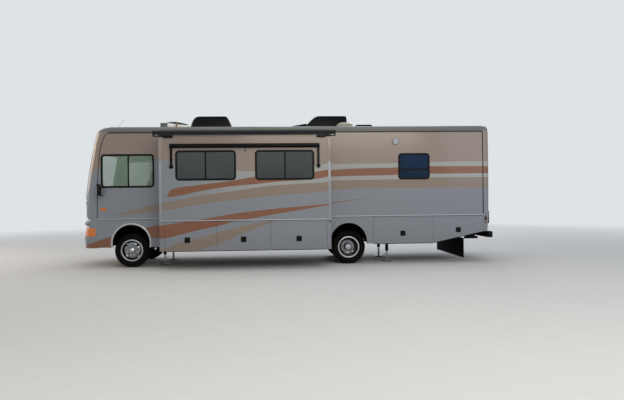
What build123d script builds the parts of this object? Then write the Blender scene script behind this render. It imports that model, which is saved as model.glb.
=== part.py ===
from build123d import *
import os

# Motorhome with one room extended on the driver's side, parked on its levelling jacks.
# Millimetres. X runs rearwards from the front axle, Y to the passenger's side, Z up from the ground.

# Running gear
wheelbase = 5283
tyre_radius = 410
tyre_width = 245
rim_radius = 248
rim_lip = 17
front_tyre_y = 1015
rear_outer_y = 1022
dual_spacing = 290
kingpin_y = 880
kingpin_radius = 20
spindle_radius = 38
bearing_gap = 0.3

# Chassis
rail_outer_y = 470
rail_flange = 75
rail_gauge = 8
rail_low_z = 600
rail_high_z = 850
rail_front_x = -1060
rail_rear_x = 8700
beam_width = 60
sill_depth = 96

# Body shell
body_half = 1295
wall = 50
floor_z = 1175
floor_thickness = 40
belt_z = 1180
eaves_z = 3230
roof_z = 3400
seam_x = -755
roof_front_x = -480
cap_back_x = 0
cap_rear_x = 8635
corner_radius = 210
tail_radius = 110
front_bulge = 190
skirt_thickness = 30
skirt_low_z = 500
nose_low_z = 490
tail_low_z = 768
slope_start_x = 7360
trim_height = 26
trim_low_z = 1168
trim_proud = 11
lid_top_z = 1155

# Wheel arches
front_arch_x = 27
front_arch_z = 600
front_arch_radius = 442
rear_arch_x = 5270
rear_arch_z = 570
rear_arch_radius = 448
front_liner_gap = 40
rear_liner_gap = 20
liner_gauge = 6
liner_inner_y = 590

# Extended room
room_front_x = 841
room_rear_x = 4773
room_face_y = -2055
room_low_z = 450
room_high_z = 3130
room_side = 40
room_lap = 44
room_gap = 15
room_inner_y = -1180
room_stop = 5
bay_inner_y = -1275
bay_gauge = 15
bay_top_z = 1127
slide_gap = 0.3
room_trim_z = 1132

# Doors and windows
door_thickness = 30
door_gap = 5
hinge_radius = 5
hinge_leaf = 3
latch_size = 120
latch_proud = 8
frame_width = 45
frame_proud = 10
frame_lip = 12
frame_depth = 34
glass_gauge = 6
window_corner = 90

pieces = []


def side_plane(y):
    # A sketch plane that faces the driver's side and stands at the given Y
    return Plane.XZ.offset(-y)


def keep(piece, name):
    piece.part.label = name
    pieces.append(piece)


def nose_section(z, half_width, nose_x, back_x, radius):
    # Level outline of the front body: bowed front, rounded corners, straight sides
    shoulder_x = nose_x + front_bulge
    with BuildSketch(Plane.XY.offset(z)) as section:
        with BuildLine():
            Line((back_x, -half_width), (shoulder_x, -half_width))
            ThreePointArc((shoulder_x, -half_width), (nose_x, 0), (shoulder_x, half_width))
            Line((shoulder_x, half_width), (back_x, half_width))
            Line((back_x, half_width), (back_x, -half_width))
        make_face()
        fillet(section.vertices().group_by(Axis.X)[0], radius)
    return section.sketch


def tail_section(z, half_width, rear_x, radius):
    # Level outline of the rear body, from inside the side walls back to the rounded corners
    front_x = cap_rear_x - wall
    with BuildSketch(Plane.XY.offset(z)) as section:
        with Locations((front_x, 0)):
            Rectangle(rear_x - front_x, 2 * half_width, align=(Align.MIN, Align.CENTER))
        fillet(section.vertices().group_by(Axis.X)[-1], radius)
    return section.sketch


# Levels of the front cap. Columns: height, half width, X of the nose
cap_steps = [
    (belt_z, body_half, -1170),
    (1240, body_half, -1208),
    (1800, body_half, -1205),
    (2300, body_half, -1132),
    (3020, body_half, -1000),
    (eaves_z, body_half, -945),
    (3320, body_half - 8, -885),
    (3372, body_half - 50, -800),
    (roof_z, body_half - 165, -640),
]
# Levels of the lower front panel, with the rolled brow above the lamps. Same columns
fascia_steps = [
    (nose_low_z, body_half, -1235),
    (760, body_half, -1255),
    (980, body_half, -1215),
    (1012, body_half, -1190),
    (1050, body_half, -1245),
    (1110, body_half, -1248),
    (1150, body_half, -1200),
    (belt_z, body_half, -1170),
]
# Levels of the rear cap. Columns: height, half width, X of the tail
tail_steps = [
    (tail_low_z, body_half, 8770),
    (belt_z, body_half, 8800),
    (2300, body_half, 8806),
    (eaves_z, body_half, 8798),
    (3320, body_half - 8, 8788),
    (3372, body_half - 50, 8765),
    (roof_z, body_half - 165, 8700),
]
# Half of the roof's cross-section. Columns: half width, height
roof_edge = [(half, z) for z, half, x in cap_steps if z >= eaves_z]


def nose_solid(steps, inset):
    # The front body between two levels, drawn in by the inset
    with BuildPart() as solid:
        sections = [
            nose_section(z, half - inset, x + inset, cap_back_x, corner_radius - inset)
            for z, half, x in steps
        ]
        loft(sections, ruled=True)
    return solid.part


def seam_outline(low_z, high_z, far_x):
    # Side view of everything ahead of the seam between the front cap and the side walls
    with BuildSketch(side_plane(body_half + wall)) as region:
        with BuildLine():
            Line((far_x, low_z), (seam_x, low_z))
            Line((seam_x, low_z), (seam_x + 5, 2000))
            ThreePointArc((seam_x + 5, 2000), (-720, 2480), (-632, 3027))
            ThreePointArc((-632, 3027), (-572, 3160), (roof_front_x, eaves_z))
            Line((roof_front_x, eaves_z), (roof_front_x, high_z))
            Line((roof_front_x, high_z), (far_x, high_z))
            Line((far_x, high_z), (far_x, low_z))
        make_face()
    return region.sketch


# Chassis: two channel rails, beams that carry the floor and low cross-members under them
beam_xs = [-1020, 120, 900, 1900, 2900, 3900, 4700, 6000, 7700, 8500]
sill_xs = [-800, -150, 1900, 3900, 6900, 7900, 8500]
with BuildPart() as chassis_frame:
    with BuildSketch(Plane.YZ.offset(rail_front_x)):
        with BuildLine():
            Polyline(
                (rail_outer_y, rail_low_z),
                (rail_outer_y, rail_high_z),
                (rail_outer_y - rail_flange, rail_high_z),
                (rail_outer_y - rail_flange, rail_high_z - rail_gauge),
                (rail_outer_y - rail_gauge, rail_high_z - rail_gauge),
                (rail_outer_y - rail_gauge, rail_low_z + rail_gauge),
                (rail_outer_y - rail_flange, rail_low_z + rail_gauge),
                (rail_outer_y - rail_flange, rail_low_z),
                close=True,
            )
        make_face()
    extrude(amount=rail_rear_x - rail_front_x)
    mirror(about=Plane.XZ)
    with Locations([(x, 0, rail_high_z) for x in beam_xs]):
        Box(
            beam_width,
            2 * rail_outer_y,
            floor_z - floor_thickness - rail_high_z,
            align=(Align.CENTER, Align.CENTER, Align.MIN),
        )
    with Locations([(x, 0, rail_low_z + rail_gauge) for x in sill_xs]):
        Box(
            beam_width,
            2 * (rail_outer_y - rail_gauge),
            sill_depth,
            align=(Align.CENTER, Align.CENTER, Align.MIN),
        )
keep(chassis_frame, "chassis_frame")

# Engine: one plain block on two cross-members, between the rails and below the cab floor
engine_low_z = rail_low_z + rail_gauge + sill_depth
engine_front_x = -940
engine_length = 980
engine_width = 560
engine_height = 420
with BuildPart() as engine_block:
    with Locations((engine_front_x, 0, engine_low_z)):
        Box(
            engine_length,
            engine_width,
            engine_height,
            align=(Align.MIN, Align.CENTER, Align.MIN),
        )
keep(engine_block, "engine_block")

# Fuel tank: hung between two cross-members behind the rear axle
tank_front_x = 6900 + beam_width / 2
tank_length = 7900 - 6900 - beam_width
tank_width = 700
tank_low_z = 480
tank_high_z = 780
with BuildPart() as fuel_tank:
    with BuildSketch(Plane.YZ.offset(tank_front_x)):
        with Locations((0, (tank_low_z + tank_high_z) / 2)):
            RectangleRounded(tank_width, tank_high_z - tank_low_z, 70)
    extrude(amount=tank_length)
keep(fuel_tank, "fuel_tank")

# Springs and axles
spring_y = rail_outer_y - rail_flange / 2
spring_width = 64
spring_gauge = 42
front_spring_half = 680
rear_spring_half = 740
hanger_length = 90
kingpin_eye_radius = 48
kingpin_eye_height = 100
beam_axle_height = 84
beam_axle_width = 90
beam_axle_web = 20
beam_axle_flange = 20
axle_tube_radius = 60
spring_seat_z = tyre_radius + axle_tube_radius


def leaf_spring(axle_x, half_length, seat_z):
    # Side view of one leaf pack that rises from the axle to the rail
    top_z = rail_low_z
    with BuildSketch(side_plane(spring_y + spring_width / 2)) as leaf:
        with BuildLine():
            end_z = top_z - 20
            low_mid = (axle_x, seat_z)
            high_mid = (axle_x, seat_z + spring_gauge)
            ends = [(axle_x - half_length, end_z), (axle_x + half_length, end_z)]
            ThreePointArc(ends[0], high_mid, ends[1])
            Line(ends[1], (ends[1][0], end_z - spring_gauge))
            ThreePointArc(
                (ends[1][0], end_z - spring_gauge), low_mid, (ends[0][0], end_z - spring_gauge)
            )
            Line((ends[0][0], end_z - spring_gauge), ends[0])
        make_face()
        for x in (axle_x - half_length, axle_x + half_length - hanger_length):
            with Locations((x, end_z - spring_gauge)):
                Rectangle(
                    hanger_length,
                    rail_low_z - end_z + spring_gauge,
                    align=(Align.MIN, Align.MIN),
                )
    return leaf.sketch


with BuildPart() as front_axle:
    with BuildSketch(side_plane(kingpin_y)):
        with Locations((0, tyre_radius)):
            Rectangle(beam_axle_width, beam_axle_height)
        with Locations([(side * beam_axle_width / 2, tyre_radius) for side in (-1, 1)]):
            Rectangle(
                beam_axle_width - beam_axle_web,
                beam_axle_height - 2 * beam_axle_flange,
                mode=Mode.SUBTRACT,
            )
    extrude(amount=kingpin_y)
    with Locations((0, kingpin_y, tyre_radius)):
        Cylinder(kingpin_eye_radius, kingpin_eye_height)
        Cylinder(
            kingpin_radius + bearing_gap, 2 * kingpin_eye_height, mode=Mode.SUBTRACT
        )
    add(leaf_spring(0, front_spring_half, tyre_radius + beam_axle_height / 2))
    extrude(amount=spring_width, dir=(0, -1, 0))
    mirror(about=Plane.XZ)
keep(front_axle, "front_axle")

drum_radius = 185
drum_width = 120
rear_tube_half = 990
with BuildPart() as rear_axle:
    with BuildSketch(side_plane(rear_tube_half)):
        with Locations((wheelbase, tyre_radius)):
            Circle(axle_tube_radius)
    extrude(amount=rear_tube_half)
    with BuildSketch(side_plane(rear_outer_y - dual_spacing - tyre_width / 2 + drum_width + 10)):
        with Locations((wheelbase, tyre_radius)):
            Circle(drum_radius)
    extrude(amount=drum_width)
    add(leaf_spring(wheelbase, rear_spring_half, spring_seat_z - 4))
    extrude(amount=spring_width, dir=(0, -1, 0))
    with BuildSketch(side_plane(150)):
        with Locations((wheelbase, tyre_radius)):
            Circle(175)
    extrude(amount=150, taper=25)
    mirror(about=Plane.XZ)
keep(rear_axle, "rear_axle")

# Steering knuckles: ears above and below the beam's eye, kingpin, stub and brake drum
ear_gap = 2
ear_height = 36
ear_radius = 46
web_gauge = 34
web_inner_y = kingpin_y + kingpin_eye_radius + 5
front_drum_width = 20
stub_end_y = front_tyre_y + 50
steer_limit = 40
for side, name in ((-1, "left_knuckle"), (1, "right_knuckle")):
    with BuildPart() as knuckle:
        ear_z = kingpin_eye_height / 2 + ear_gap + ear_height / 2
        for up in (-1, 1):
            with Locations((0, side * kingpin_y, tyre_radius + up * ear_z)):
                Cylinder(ear_radius, ear_height)
            with Locations((0, side * (kingpin_y + web_inner_y) / 2, tyre_radius + up * ear_z)):
                Box(2 * ear_radius, web_inner_y - kingpin_y, ear_height)
        with Locations((0, side * kingpin_y, tyre_radius)):
            Cylinder(kingpin_radius, 2 * ear_z)
        with Locations((0, side * (web_inner_y + web_gauge / 2), tyre_radius)):
            Box(2 * ear_radius, web_gauge, 2 * ear_z + ear_height)
        drum_y = web_inner_y + web_gauge
        with BuildSketch(side_plane(side * drum_y)):
            with Locations((0, tyre_radius)):
                Circle(drum_radius)
        extrude(amount=-side * front_drum_width)
        with BuildSketch(side_plane(side * drum_y)):
            with Locations((0, tyre_radius)):
                Circle(spindle_radius)
        extrude(amount=-side * (stub_end_y - drum_y))
    keep(knuckle, name)

# Wheels and tyres. Profiles are drawn as radius across and distance outboard up
hand_holes = 4
hand_hole_radius = 30
hand_hole_circle = 186
wheel_bolts = 8
bolt_circle = 137.5
bolt_radius = 14
bolt_height = 24
rim_gauge = 14
rim_half = 108
hub_outer = 96
tyre_inset = 1


def tyre_profile():
    # Section through one tyre, around its middle
    half = tyre_width / 2
    with BuildSketch(Plane.XY) as profile:
        with BuildLine():
            Polyline(
                (rim_radius + bearing_gap, -rim_half + 6),
                (rim_radius + rim_lip + 2, -rim_half + 6),
                (rim_radius + 62, -half + 6),
                (rim_radius + 105, -half),
                (tyre_radius - 12, -half + 26),
                (tyre_radius, -half + 46),
                (tyre_radius, half - 46),
                (tyre_radius - 12, half - 26),
                (rim_radius + 105, half),
                (rim_radius + 62, half - 6),
                (rim_radius + rim_lip + 2, rim_half - 6),
                (rim_radius + bearing_gap, rim_half - 6),
                close=True,
            )
        make_face()
    return profile.sketch


def wheel_plane(axle_x, y, side):
    # Through the wheel's axis: first direction is the radius, second runs outboard
    return Plane(origin=(axle_x, y, tyre_radius), x_dir=(0, 0, 1), z_dir=(-side, 0, 0))


def barrel_outline():
    # Section through the rim that carries the tyre
    with BuildSketch(Plane.XY) as profile:
        with BuildLine():
            Polyline(
                (rim_radius - rim_gauge, -rim_half),
                (rim_radius + rim_lip, -rim_half),
                (rim_radius + rim_lip, -rim_half + 5),
                (rim_radius, -rim_half + 5),
                (rim_radius, rim_half - 5),
                (rim_radius + rim_lip, rim_half - 5),
                (rim_radius + rim_lip, rim_half),
                (rim_radius - rim_gauge, rim_half),
                close=True,
            )
        make_face()
    return profile.sketch


def front_disc_outline():
    # Domed centre of a front wheel, with its hub round the stub and its cap
    bore = spindle_radius + bearing_gap
    with BuildSketch(Plane.XY) as profile:
        with BuildLine():
            Polyline(
                (bore, -20),
                (hub_outer, -20),
                (hub_outer, 50),
                (150, 62),
                (rim_radius - rim_gauge - 14, 20),
                (rim_radius - rim_gauge + 2, 8),
                (rim_radius - rim_gauge + 2, 30),
                (rim_radius - rim_gauge - 8, 40),
            )
            ThreePointArc((rim_radius - rim_gauge - 8, 40), (196, 68), (150, 78))
            Polyline((150, 78), (62, 78), (62, 112), (56, 120), (30, 130), (0, 130))
            Polyline((0, 130), (0, stub_end_y - front_tyre_y + 6), (bore, stub_end_y - front_tyre_y + 6), (bore, -20))
        make_face()
    return profile.sketch


def dual_disc_outline():
    # Dished centres of the two rear wheels, clamped back to back between the tyres, and the hub
    bore = axle_tube_radius + bearing_gap
    middle = dual_spacing / 2
    tube_end = rear_tube_half - (rear_outer_y - middle)
    with BuildSketch(Plane.XY) as profile:
        with BuildLine():
            Polyline(
                (bore, -12),
                (165, -12),
                (rim_radius - rim_gauge + 2, -12 - 30),
                (rim_radius - rim_gauge + 2, -12 - 54),
                (rim_radius - rim_gauge + 14, -12 - 54),
                (rim_radius - rim_gauge + 14, 12 + 54),
                (rim_radius - rim_gauge + 2, 12 + 54),
                (rim_radius - rim_gauge + 2, 12 + 30),
                (165, 12),
                (98, 12),
                (84, 60),
                (84, 176),
                (74, 190),
                (0, 194),
                (0, tube_end + 6),
                (bore, tube_end + 6),
                close=True,
            )
        make_face()
    return profile.sketch


def wheel_axis(axle_x, y):
    return Axis((axle_x, y, tyre_radius), (0, 1, 0))


for side, word in ((-1, "left"), (1, "right")):
    front_y = side * front_tyre_y
    with BuildPart() as tyre:
        with BuildSketch(wheel_plane(0, front_y, side)):
            add(tyre_profile())
        revolve(axis=wheel_axis(0, front_y))
    keep(tyre, f"front_{word}_tyre")
    with BuildPart() as wheel:
        with BuildSketch(wheel_plane(0, front_y, side)):
            add(barrel_outline())
            add(front_disc_outline())
        revolve(axis=wheel_axis(0, front_y))
        with BuildSketch(side_plane(front_y + side * tyre_width / 2)):
            with Locations((0, tyre_radius)):
                with PolarLocations(hand_hole_circle, hand_holes, 45):
                    Circle(hand_hole_radius)
        extrude(amount=side * tyre_width, mode=Mode.SUBTRACT)
        with BuildSketch(side_plane(front_y + side * 77)):
            with Locations((0, tyre_radius)):
                with PolarLocations(bolt_circle, wheel_bolts, 22.5):
                    Circle(bolt_radius)
        extrude(amount=-side * bolt_height)
    keep(wheel, f"front_{word}_wheel")

    outer_y = side * rear_outer_y
    middle_y = side * (rear_outer_y - dual_spacing / 2)
    inner_y = side * (rear_outer_y - dual_spacing)
    with BuildPart() as tyre_pair:
        for y in (outer_y, inner_y):
            with BuildSketch(wheel_plane(wheelbase, y, side)):
                add(tyre_profile())
            revolve(axis=wheel_axis(wheelbase, y))
    keep(tyre_pair, f"rear_{word}_tyres")
    with BuildPart() as wheel_pair:
        for y in (outer_y, inner_y):
            with BuildSketch(wheel_plane(wheelbase, y, side)):
                add(barrel_outline())
            revolve(axis=wheel_axis(wheelbase, y))
        with BuildSketch(wheel_plane(wheelbase, middle_y, side)):
            add(dual_disc_outline())
        revolve(axis=wheel_axis(wheelbase, middle_y))
        with BuildSketch(side_plane(middle_y + side * 100)):
            with Locations((wheelbase, tyre_radius)):
                with PolarLocations(hand_hole_circle, hand_holes, 45):
                    Circle(hand_hole_radius)
        extrude(amount=side * 200, mode=Mode.SUBTRACT)
        with BuildSketch(side_plane(middle_y + side * 11)):
            with Locations((wheelbase, tyre_radius)):
                with PolarLocations(bolt_circle, wheel_bolts, 22.5):
                    Circle(bolt_radius)
        extrude(amount=-side * bolt_height)
    keep(wheel_pair, f"rear_{word}_wheels")

# Levelling jacks: bracket on the rail, cylinder, chromed rod and round foot on the ground
jack_xs = (700, 6330)
jack_y = 620
jack_radius = 40
jack_rod_radius = 27
jack_foot_radius = 115
jack_foot_height = 26
jack_low_z = 260
jack_high_z = 840
bracket_gauge = 12
with BuildPart() as levelling_jacks:
    for x in jack_xs:
        with Locations((x, jack_y, jack_low_z)):
            Cylinder(
                jack_radius, jack_high_z - jack_low_z, align=(Align.CENTER, Align.CENTER, Align.MIN)
            )
        with Locations((x, jack_y, 0)):
            Cylinder(
                jack_rod_radius, jack_low_z, align=(Align.CENTER, Align.CENTER, Align.MIN)
            )
            Cylinder(
                jack_foot_radius, jack_foot_height, align=(Align.CENTER, Align.CENTER, Align.MIN)
            )
        with Locations((x, rail_outer_y, rail_low_z + 20)):
            Box(
                200,
                jack_y - jack_radius - rail_outer_y + 10,
                rail_high_z - rail_low_z - 40,
                align=(Align.CENTER, Align.MIN, Align.MIN),
            )
    mirror(about=Plane.XZ)
keep(levelling_jacks, "levelling_jacks")

# Floor: one slab from the cab to the rear cap, with the entry step let into it
entry_front_x = 690
entry_width = 663
entry_low_z = 900
entry_high_z = 2890
step_depth = 420
step_gauge = 12
floor_nose_x = -1060
floor_rear_x = 8660
with BuildPart() as floor_slab:
    with BuildSketch(Plane.XY.offset(floor_z - floor_thickness)):
        add(
            nose_section(0, body_half - wall, floor_nose_x, floor_rear_x, corner_radius)
        )
        with Locations((entry_front_x, body_half - wall)):
            Rectangle(
                entry_width, step_depth, align=(Align.MIN, Align.MAX), mode=Mode.SUBTRACT
            )
    extrude(amount=floor_thickness)
keep(floor_slab, "floor")

with BuildPart() as entry_step:
    with BuildSketch(Plane.YZ.offset(entry_front_x - step_gauge)):
        with BuildLine():
            far_y = body_half - wall - step_depth
            near_y = body_half - skirt_thickness - slide_gap
            top = floor_z - floor_thickness
            Polyline(
                (far_y, top),
                (far_y - step_gauge, top),
                (far_y - step_gauge, entry_low_z - step_gauge),
                (near_y, entry_low_z - step_gauge),
                (near_y, entry_low_z),
                (far_y, entry_low_z),
                close=True,
            )
        make_face()
    extrude(amount=entry_width + 2 * step_gauge)
    with Locations(
        [(x, far_y, entry_low_z) for x in (entry_front_x - step_gauge, entry_front_x + entry_width)]
    ):
        Box(
            step_gauge,
            near_y - far_y,
            top - entry_low_z,
            align=(Align.MIN, Align.MIN, Align.MIN),
        )
keep(entry_step, "entry_step")

# Storage bays under the floor behind the doors. Columns: side, front X, rear X
bay_table = [(-1, 5886, 8620), (1, 1420, 4740), (1, 5886, 8620)]
bay_low_z = skirt_low_z + 12
bay_wall_y = 760
bay_sheet = 10


def rear_slope_z(x, low_z):
    # Height of the rising line under the tail
    rise = (tail_low_z - skirt_low_z) / (cap_rear_x - slope_start_x)
    return low_z + max(0, x - slope_start_x) * rise


with BuildPart() as storage_bays:
    for side, front_x, rear_x in bay_table:
        far_y = bay_wall_y
        bay_depth = body_half - skirt_thickness - slide_gap - far_y
        with BuildSketch(side_plane(side * far_y if side < 0 else body_half - skirt_thickness - slide_gap)):
            with BuildLine():
                rear_low = rear_slope_z(rear_x, bay_low_z)
                corners = [(front_x, floor_z - floor_thickness), (front_x, bay_low_z)]
                if rear_x > slope_start_x:
                    corners += [(slope_start_x, bay_low_z)]
                corners += [(rear_x, rear_low), (rear_x, floor_z - floor_thickness)]
                Polyline(*corners, close=True)
            make_face()
        extrude(amount=bay_depth)
        inner_corners = [
            (front_x + bay_sheet, floor_z - floor_thickness),
            (front_x + bay_sheet, bay_low_z + bay_sheet),
        ]
        if rear_x > slope_start_x:
            inner_corners += [(slope_start_x, bay_low_z + bay_sheet)]
        inner_corners += [
            (rear_x - bay_sheet, rear_slope_z(rear_x, bay_low_z) + bay_sheet),
            (rear_x - bay_sheet, floor_z - floor_thickness),
        ]
        open_y = body_half - skirt_thickness - slide_gap
        with BuildSketch(side_plane(-far_y - bay_sheet if side < 0 else open_y)):
            with BuildLine():
                Polyline(*inner_corners, close=True)
            make_face()
        extrude(amount=bay_depth - bay_sheet, mode=Mode.SUBTRACT)
keep(storage_bays, "storage_bays")


# Windows in the side walls. Columns: side, front X, rear X, low Z, high Z, upright bars, level bars
wall_windows = [
    (-1, -671, 591, 1928, 2734, [-22], []),
    (-1, 6510, 7296, 2064, 2714, [], [2313]),
    (1, -671, 591, 1928, 2734, [-22], []),
    (1, 1750, 2850, 2064, 2714, [2300], []),
    (1, 3450, 4250, 2264, 2714, [3850], []),
    (1, 6510, 7296, 2064, 2714, [], [2313]),
]
# Windows in the room's face. Columns as above, without the side
room_windows = [
    (1214, 2594, 2063, 2755, [1899], []),
    (3027, 4395, 2060, 2753, [3717], []),
]
bar_width = 34


def window_area(front_x, rear_x, low_z, high_z, inset):
    # Rounded opening, drawn in from the frame's outline
    with BuildSketch(Plane.XY) as area:
        with Locations(((front_x + rear_x) / 2, (low_z + high_z) / 2)):
            RectangleRounded(
                rear_x - front_x - 2 * inset, high_z - low_z - 2 * inset, window_corner - inset
            )
    return area.sketch


def window_bars(front_x, rear_x, low_z, high_z, uprights, levels):
    # Bars that divide the glass
    with BuildSketch(Plane.XY) as bars:
        for x in uprights:
            with Locations((x, (low_z + high_z) / 2)):
                Rectangle(bar_width, high_z - low_z - 2 * frame_width + 2)
        for z in levels:
            with Locations(((front_x + rear_x) / 2, z)):
                Rectangle(rear_x - front_x - 2 * frame_width + 2, bar_width)
    return bars.sketch


def window_frame(face_y, side, front_x, rear_x, low_z, high_z, uprights, levels):
    # Ring proud of the wall, sleeve through the opening and the bars across it
    outline = (front_x, rear_x, low_z, high_z)
    with BuildPart() as frame:
        with BuildSketch(side_plane(face_y)):
            add(window_area(*outline, 0))
            add(window_area(*outline, frame_width), mode=Mode.SUBTRACT)
            if uprights or levels:
                add(window_bars(*outline, uprights, levels))
        extrude(amount=-side * frame_proud)
        with BuildSketch(side_plane(face_y)):
            add(window_area(*outline, frame_width - frame_lip))
            add(window_area(*outline, frame_width), mode=Mode.SUBTRACT)
        extrude(amount=side * frame_depth)
    return frame.part


def window_glass(face_y, side, front_x, rear_x, low_z, high_z):
    # Pane seated in the sleeve, behind the ring and its bars
    with BuildPart() as glass:
        with BuildSketch(side_plane(face_y)):
            add(window_area(front_x, rear_x, low_z, high_z, frame_width))
        extrude(amount=side * glass_gauge)
    return glass.part


# Doors in the skirts, hinged at the top. Columns: name, side, front X, rear X, latch X
wall_doors = [
    ("rear_left_door_1", -1, 5885, 7376, 6611),
    ("rear_left_door_2", -1, 7376, 8625, 7999),
    ("right_door_1", 1, 1420, 3080, 2250),
    ("right_door_2", 1, 3080, 4740, 3910),
    ("right_door_3", 1, 5885, 7376, 6611),
]
opening_ends = {-1: [(5885, 8625)], 1: [(1420, 4740), (5885, 7376)]}
room_open_front_x = room_front_x + room_lap - room_gap
room_open_rear_x = room_rear_x - room_lap + room_gap
room_open_high_z = room_high_z - room_lap + room_gap + 5


def skirt_outline(front_x, rear_x, low_z):
    # Side view of a skirt, with the rising line under the tail
    with BuildSketch(Plane.XY) as outline:
        with BuildLine():
            corners = [(front_x, belt_z), (front_x, rear_slope_z(front_x, low_z))]
            if front_x < slope_start_x < rear_x:
                corners += [(slope_start_x, low_z)]
            corners += [(rear_x, rear_slope_z(rear_x, low_z)), (rear_x, belt_z)]
            Polyline(*corners, close=True)
        make_face()
    return outline.sketch


def arch_area(x, z, radius):
    # Wheel arch, open at the bottom
    with BuildSketch(Plane.XY) as area:
        with Locations((x, z)):
            Circle(radius)
            Rectangle(2 * radius, z, align=(Align.CENTER, Align.MAX))
    return area.sketch


skirt_parts = []
for side, word in ((-1, "left"), (1, "right")):
    outer_y = side * body_half
    with BuildPart() as side_wall:
        with BuildSketch(side_plane(outer_y)):
            with Locations((seam_x, belt_z)):
                Rectangle(cap_rear_x - seam_x, eaves_z - belt_z, align=(Align.MIN, Align.MIN))
            for wall_side, front_x, rear_x, low_z, high_z, uprights, levels in wall_windows:
                if wall_side == side:
                    add(
                        window_area(front_x, rear_x, low_z, high_z, frame_width - frame_lip),
                        mode=Mode.SUBTRACT,
                    )
            if side < 0:
                with Locations((room_open_front_x, belt_z)):
                    Rectangle(
                        room_open_rear_x - room_open_front_x,
                        room_open_high_z - belt_z,
                        align=(Align.MIN, Align.MIN),
                        mode=Mode.SUBTRACT,
                    )
            else:
                with Locations((entry_front_x, belt_z)):
                    Rectangle(
                        entry_width,
                        entry_high_z - belt_z,
                        align=(Align.MIN, Align.MIN),
                        mode=Mode.SUBTRACT,
                    )
        extrude(amount=side * wall)
        add(seam_outline(belt_z - 10, roof_z + 100, seam_x - 900))
        extrude(amount=2 * (body_half + wall), dir=(0, -1, 0), mode=Mode.SUBTRACT)
    keep(side_wall, f"{word}_wall")

    # Skirt panels with the arches, the door openings and the bright strip along the belt
    with BuildPart() as skirt:
        with BuildSketch(side_plane(outer_y)):
            if side < 0:
                add(skirt_outline(seam_x, room_open_front_x, skirt_low_z))
                add(skirt_outline(room_open_rear_x, cap_rear_x, skirt_low_z))
            else:
                add(skirt_outline(seam_x, cap_rear_x, skirt_low_z))
                with Locations((entry_front_x, entry_low_z)):
                    Rectangle(
                        entry_width,
                        belt_z - entry_low_z,
                        align=(Align.MIN, Align.MIN),
                        mode=Mode.SUBTRACT,
                    )
            add(arch_area(front_arch_x, front_arch_z, front_arch_radius), mode=Mode.SUBTRACT)
            add(arch_area(rear_arch_x, rear_arch_z, rear_arch_radius), mode=Mode.SUBTRACT)
            for front_x, rear_x in opening_ends[side]:
                with Locations((front_x, 0)):
                    Rectangle(
                        rear_x - front_x,
                        lid_top_z,
                        align=(Align.MIN, Align.MIN),
                        mode=Mode.SUBTRACT,
                    )
        extrude(amount=side * skirt_thickness)
        if side < 0:
            strip_spans = [(seam_x, room_front_x - 10), (room_rear_x + 10, cap_rear_x)]
        else:
            strip_spans = [(seam_x, entry_front_x - 12), (entry_front_x + entry_width + 6, cap_rear_x)]
        with BuildSketch(side_plane(outer_y)):
            for front_x, rear_x in strip_spans:
                with Locations((front_x, trim_low_z)):
                    Rectangle(rear_x - front_x, trim_height, align=(Align.MIN, Align.MIN))
        extrude(amount=-side * trim_proud)
    skirt_parts.append(skirt.part)
with BuildPart() as skirts:
    add(skirt_parts)
keep(skirts, "skirts")

# Roof: one crowned sheet with rounded edges between the two caps
roof_sheet = 50
gutter_proud = 14
gutter_z = eaves_z + 4
gutter_height = 24
with BuildPart() as roof:
    with BuildSketch(Plane.YZ.offset(roof_front_x)):
        with BuildLine():
            outer = roof_edge
            inner = [(half - wall, z - (0 if z == eaves_z else roof_sheet)) for half, z in roof_edge]
            right_side = outer + inner[::-1]
            Polyline(*[(y, z) for y, z in outer + [(-y, z) for y, z in outer[::-1]]])
            Polyline(
                (-outer[0][0], outer[0][1]),
                *[(-y, z) for y, z in inner],
                *[(y, z) for y, z in inner[::-1]],
                outer[0],
            )
        make_face()
    extrude(amount=cap_rear_x - roof_front_x)
    with Locations([(roof_front_x, side * (body_half + gutter_proud / 2 - 2), gutter_z) for side in (-1, 1)]):
        Box(
            cap_rear_x - roof_front_x,
            gutter_proud + 4,
            gutter_height,
            align=(Align.MIN, Align.CENTER, Align.MIN),
        )
keep(roof, "roof")

# Front cap, its windscreen in two panes, and the panel under it
glass_low_z = 1610
glass_high_z = 2830
glass_half = 1130
glass_corner = 130
screen_inset = 6
screen_gauge = 8
divider_half = 22


def front_area(half_width, low_z, high_z, corner):
    # Opening seen from the front
    with BuildSketch(Plane.YZ.offset(-1500)) as area:
        with Locations((0, (low_z + high_z) / 2)):
            RectangleRounded(2 * half_width, high_z - low_z, corner)
    return area.sketch


cap_inner_steps = [step for step in cap_steps if step[0] < 3320] + [
    (roof_z - 20, body_half - 40, -820)
]
with BuildPart() as front_cap:
    add(nose_solid(cap_steps, 0))
    with BuildPart(mode=Mode.PRIVATE) as cap_core:
        add(nose_solid([(z - (20 if z > belt_z else 0), half, x) for z, half, x in cap_inner_steps], wall))
    add(cap_core.part, mode=Mode.SUBTRACT)
    add(front_area(glass_half, glass_low_z, glass_high_z, glass_corner))
    extrude(amount=900, dir=(1, 0, 0), mode=Mode.SUBTRACT)
    add(seam_outline(belt_z - 10, roof_z + 100, seam_x - 900))
    extrude(amount=2 * (body_half + wall), dir=(0, -1, 0), mode=Mode.INTERSECT)


with BuildPart() as windscreen:
    add(nose_solid(cap_steps[:6], screen_inset))
    add(nose_solid(cap_steps[:6], screen_inset + screen_gauge), mode=Mode.SUBTRACT)
    with BuildPart(mode=Mode.PRIVATE) as screen_prism:
        extrude(
            front_area(glass_half, glass_low_z, glass_high_z, glass_corner),
            amount=900,
            dir=(1, 0, 0),
        )
        with Locations((-1000, 0, (glass_low_z + glass_high_z) / 2)):
            Box(1000, 2 * divider_half, glass_high_z - glass_low_z, mode=Mode.SUBTRACT)
    add(screen_prism.part, mode=Mode.INTERSECT)
keep(windscreen, "windscreen")

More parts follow.
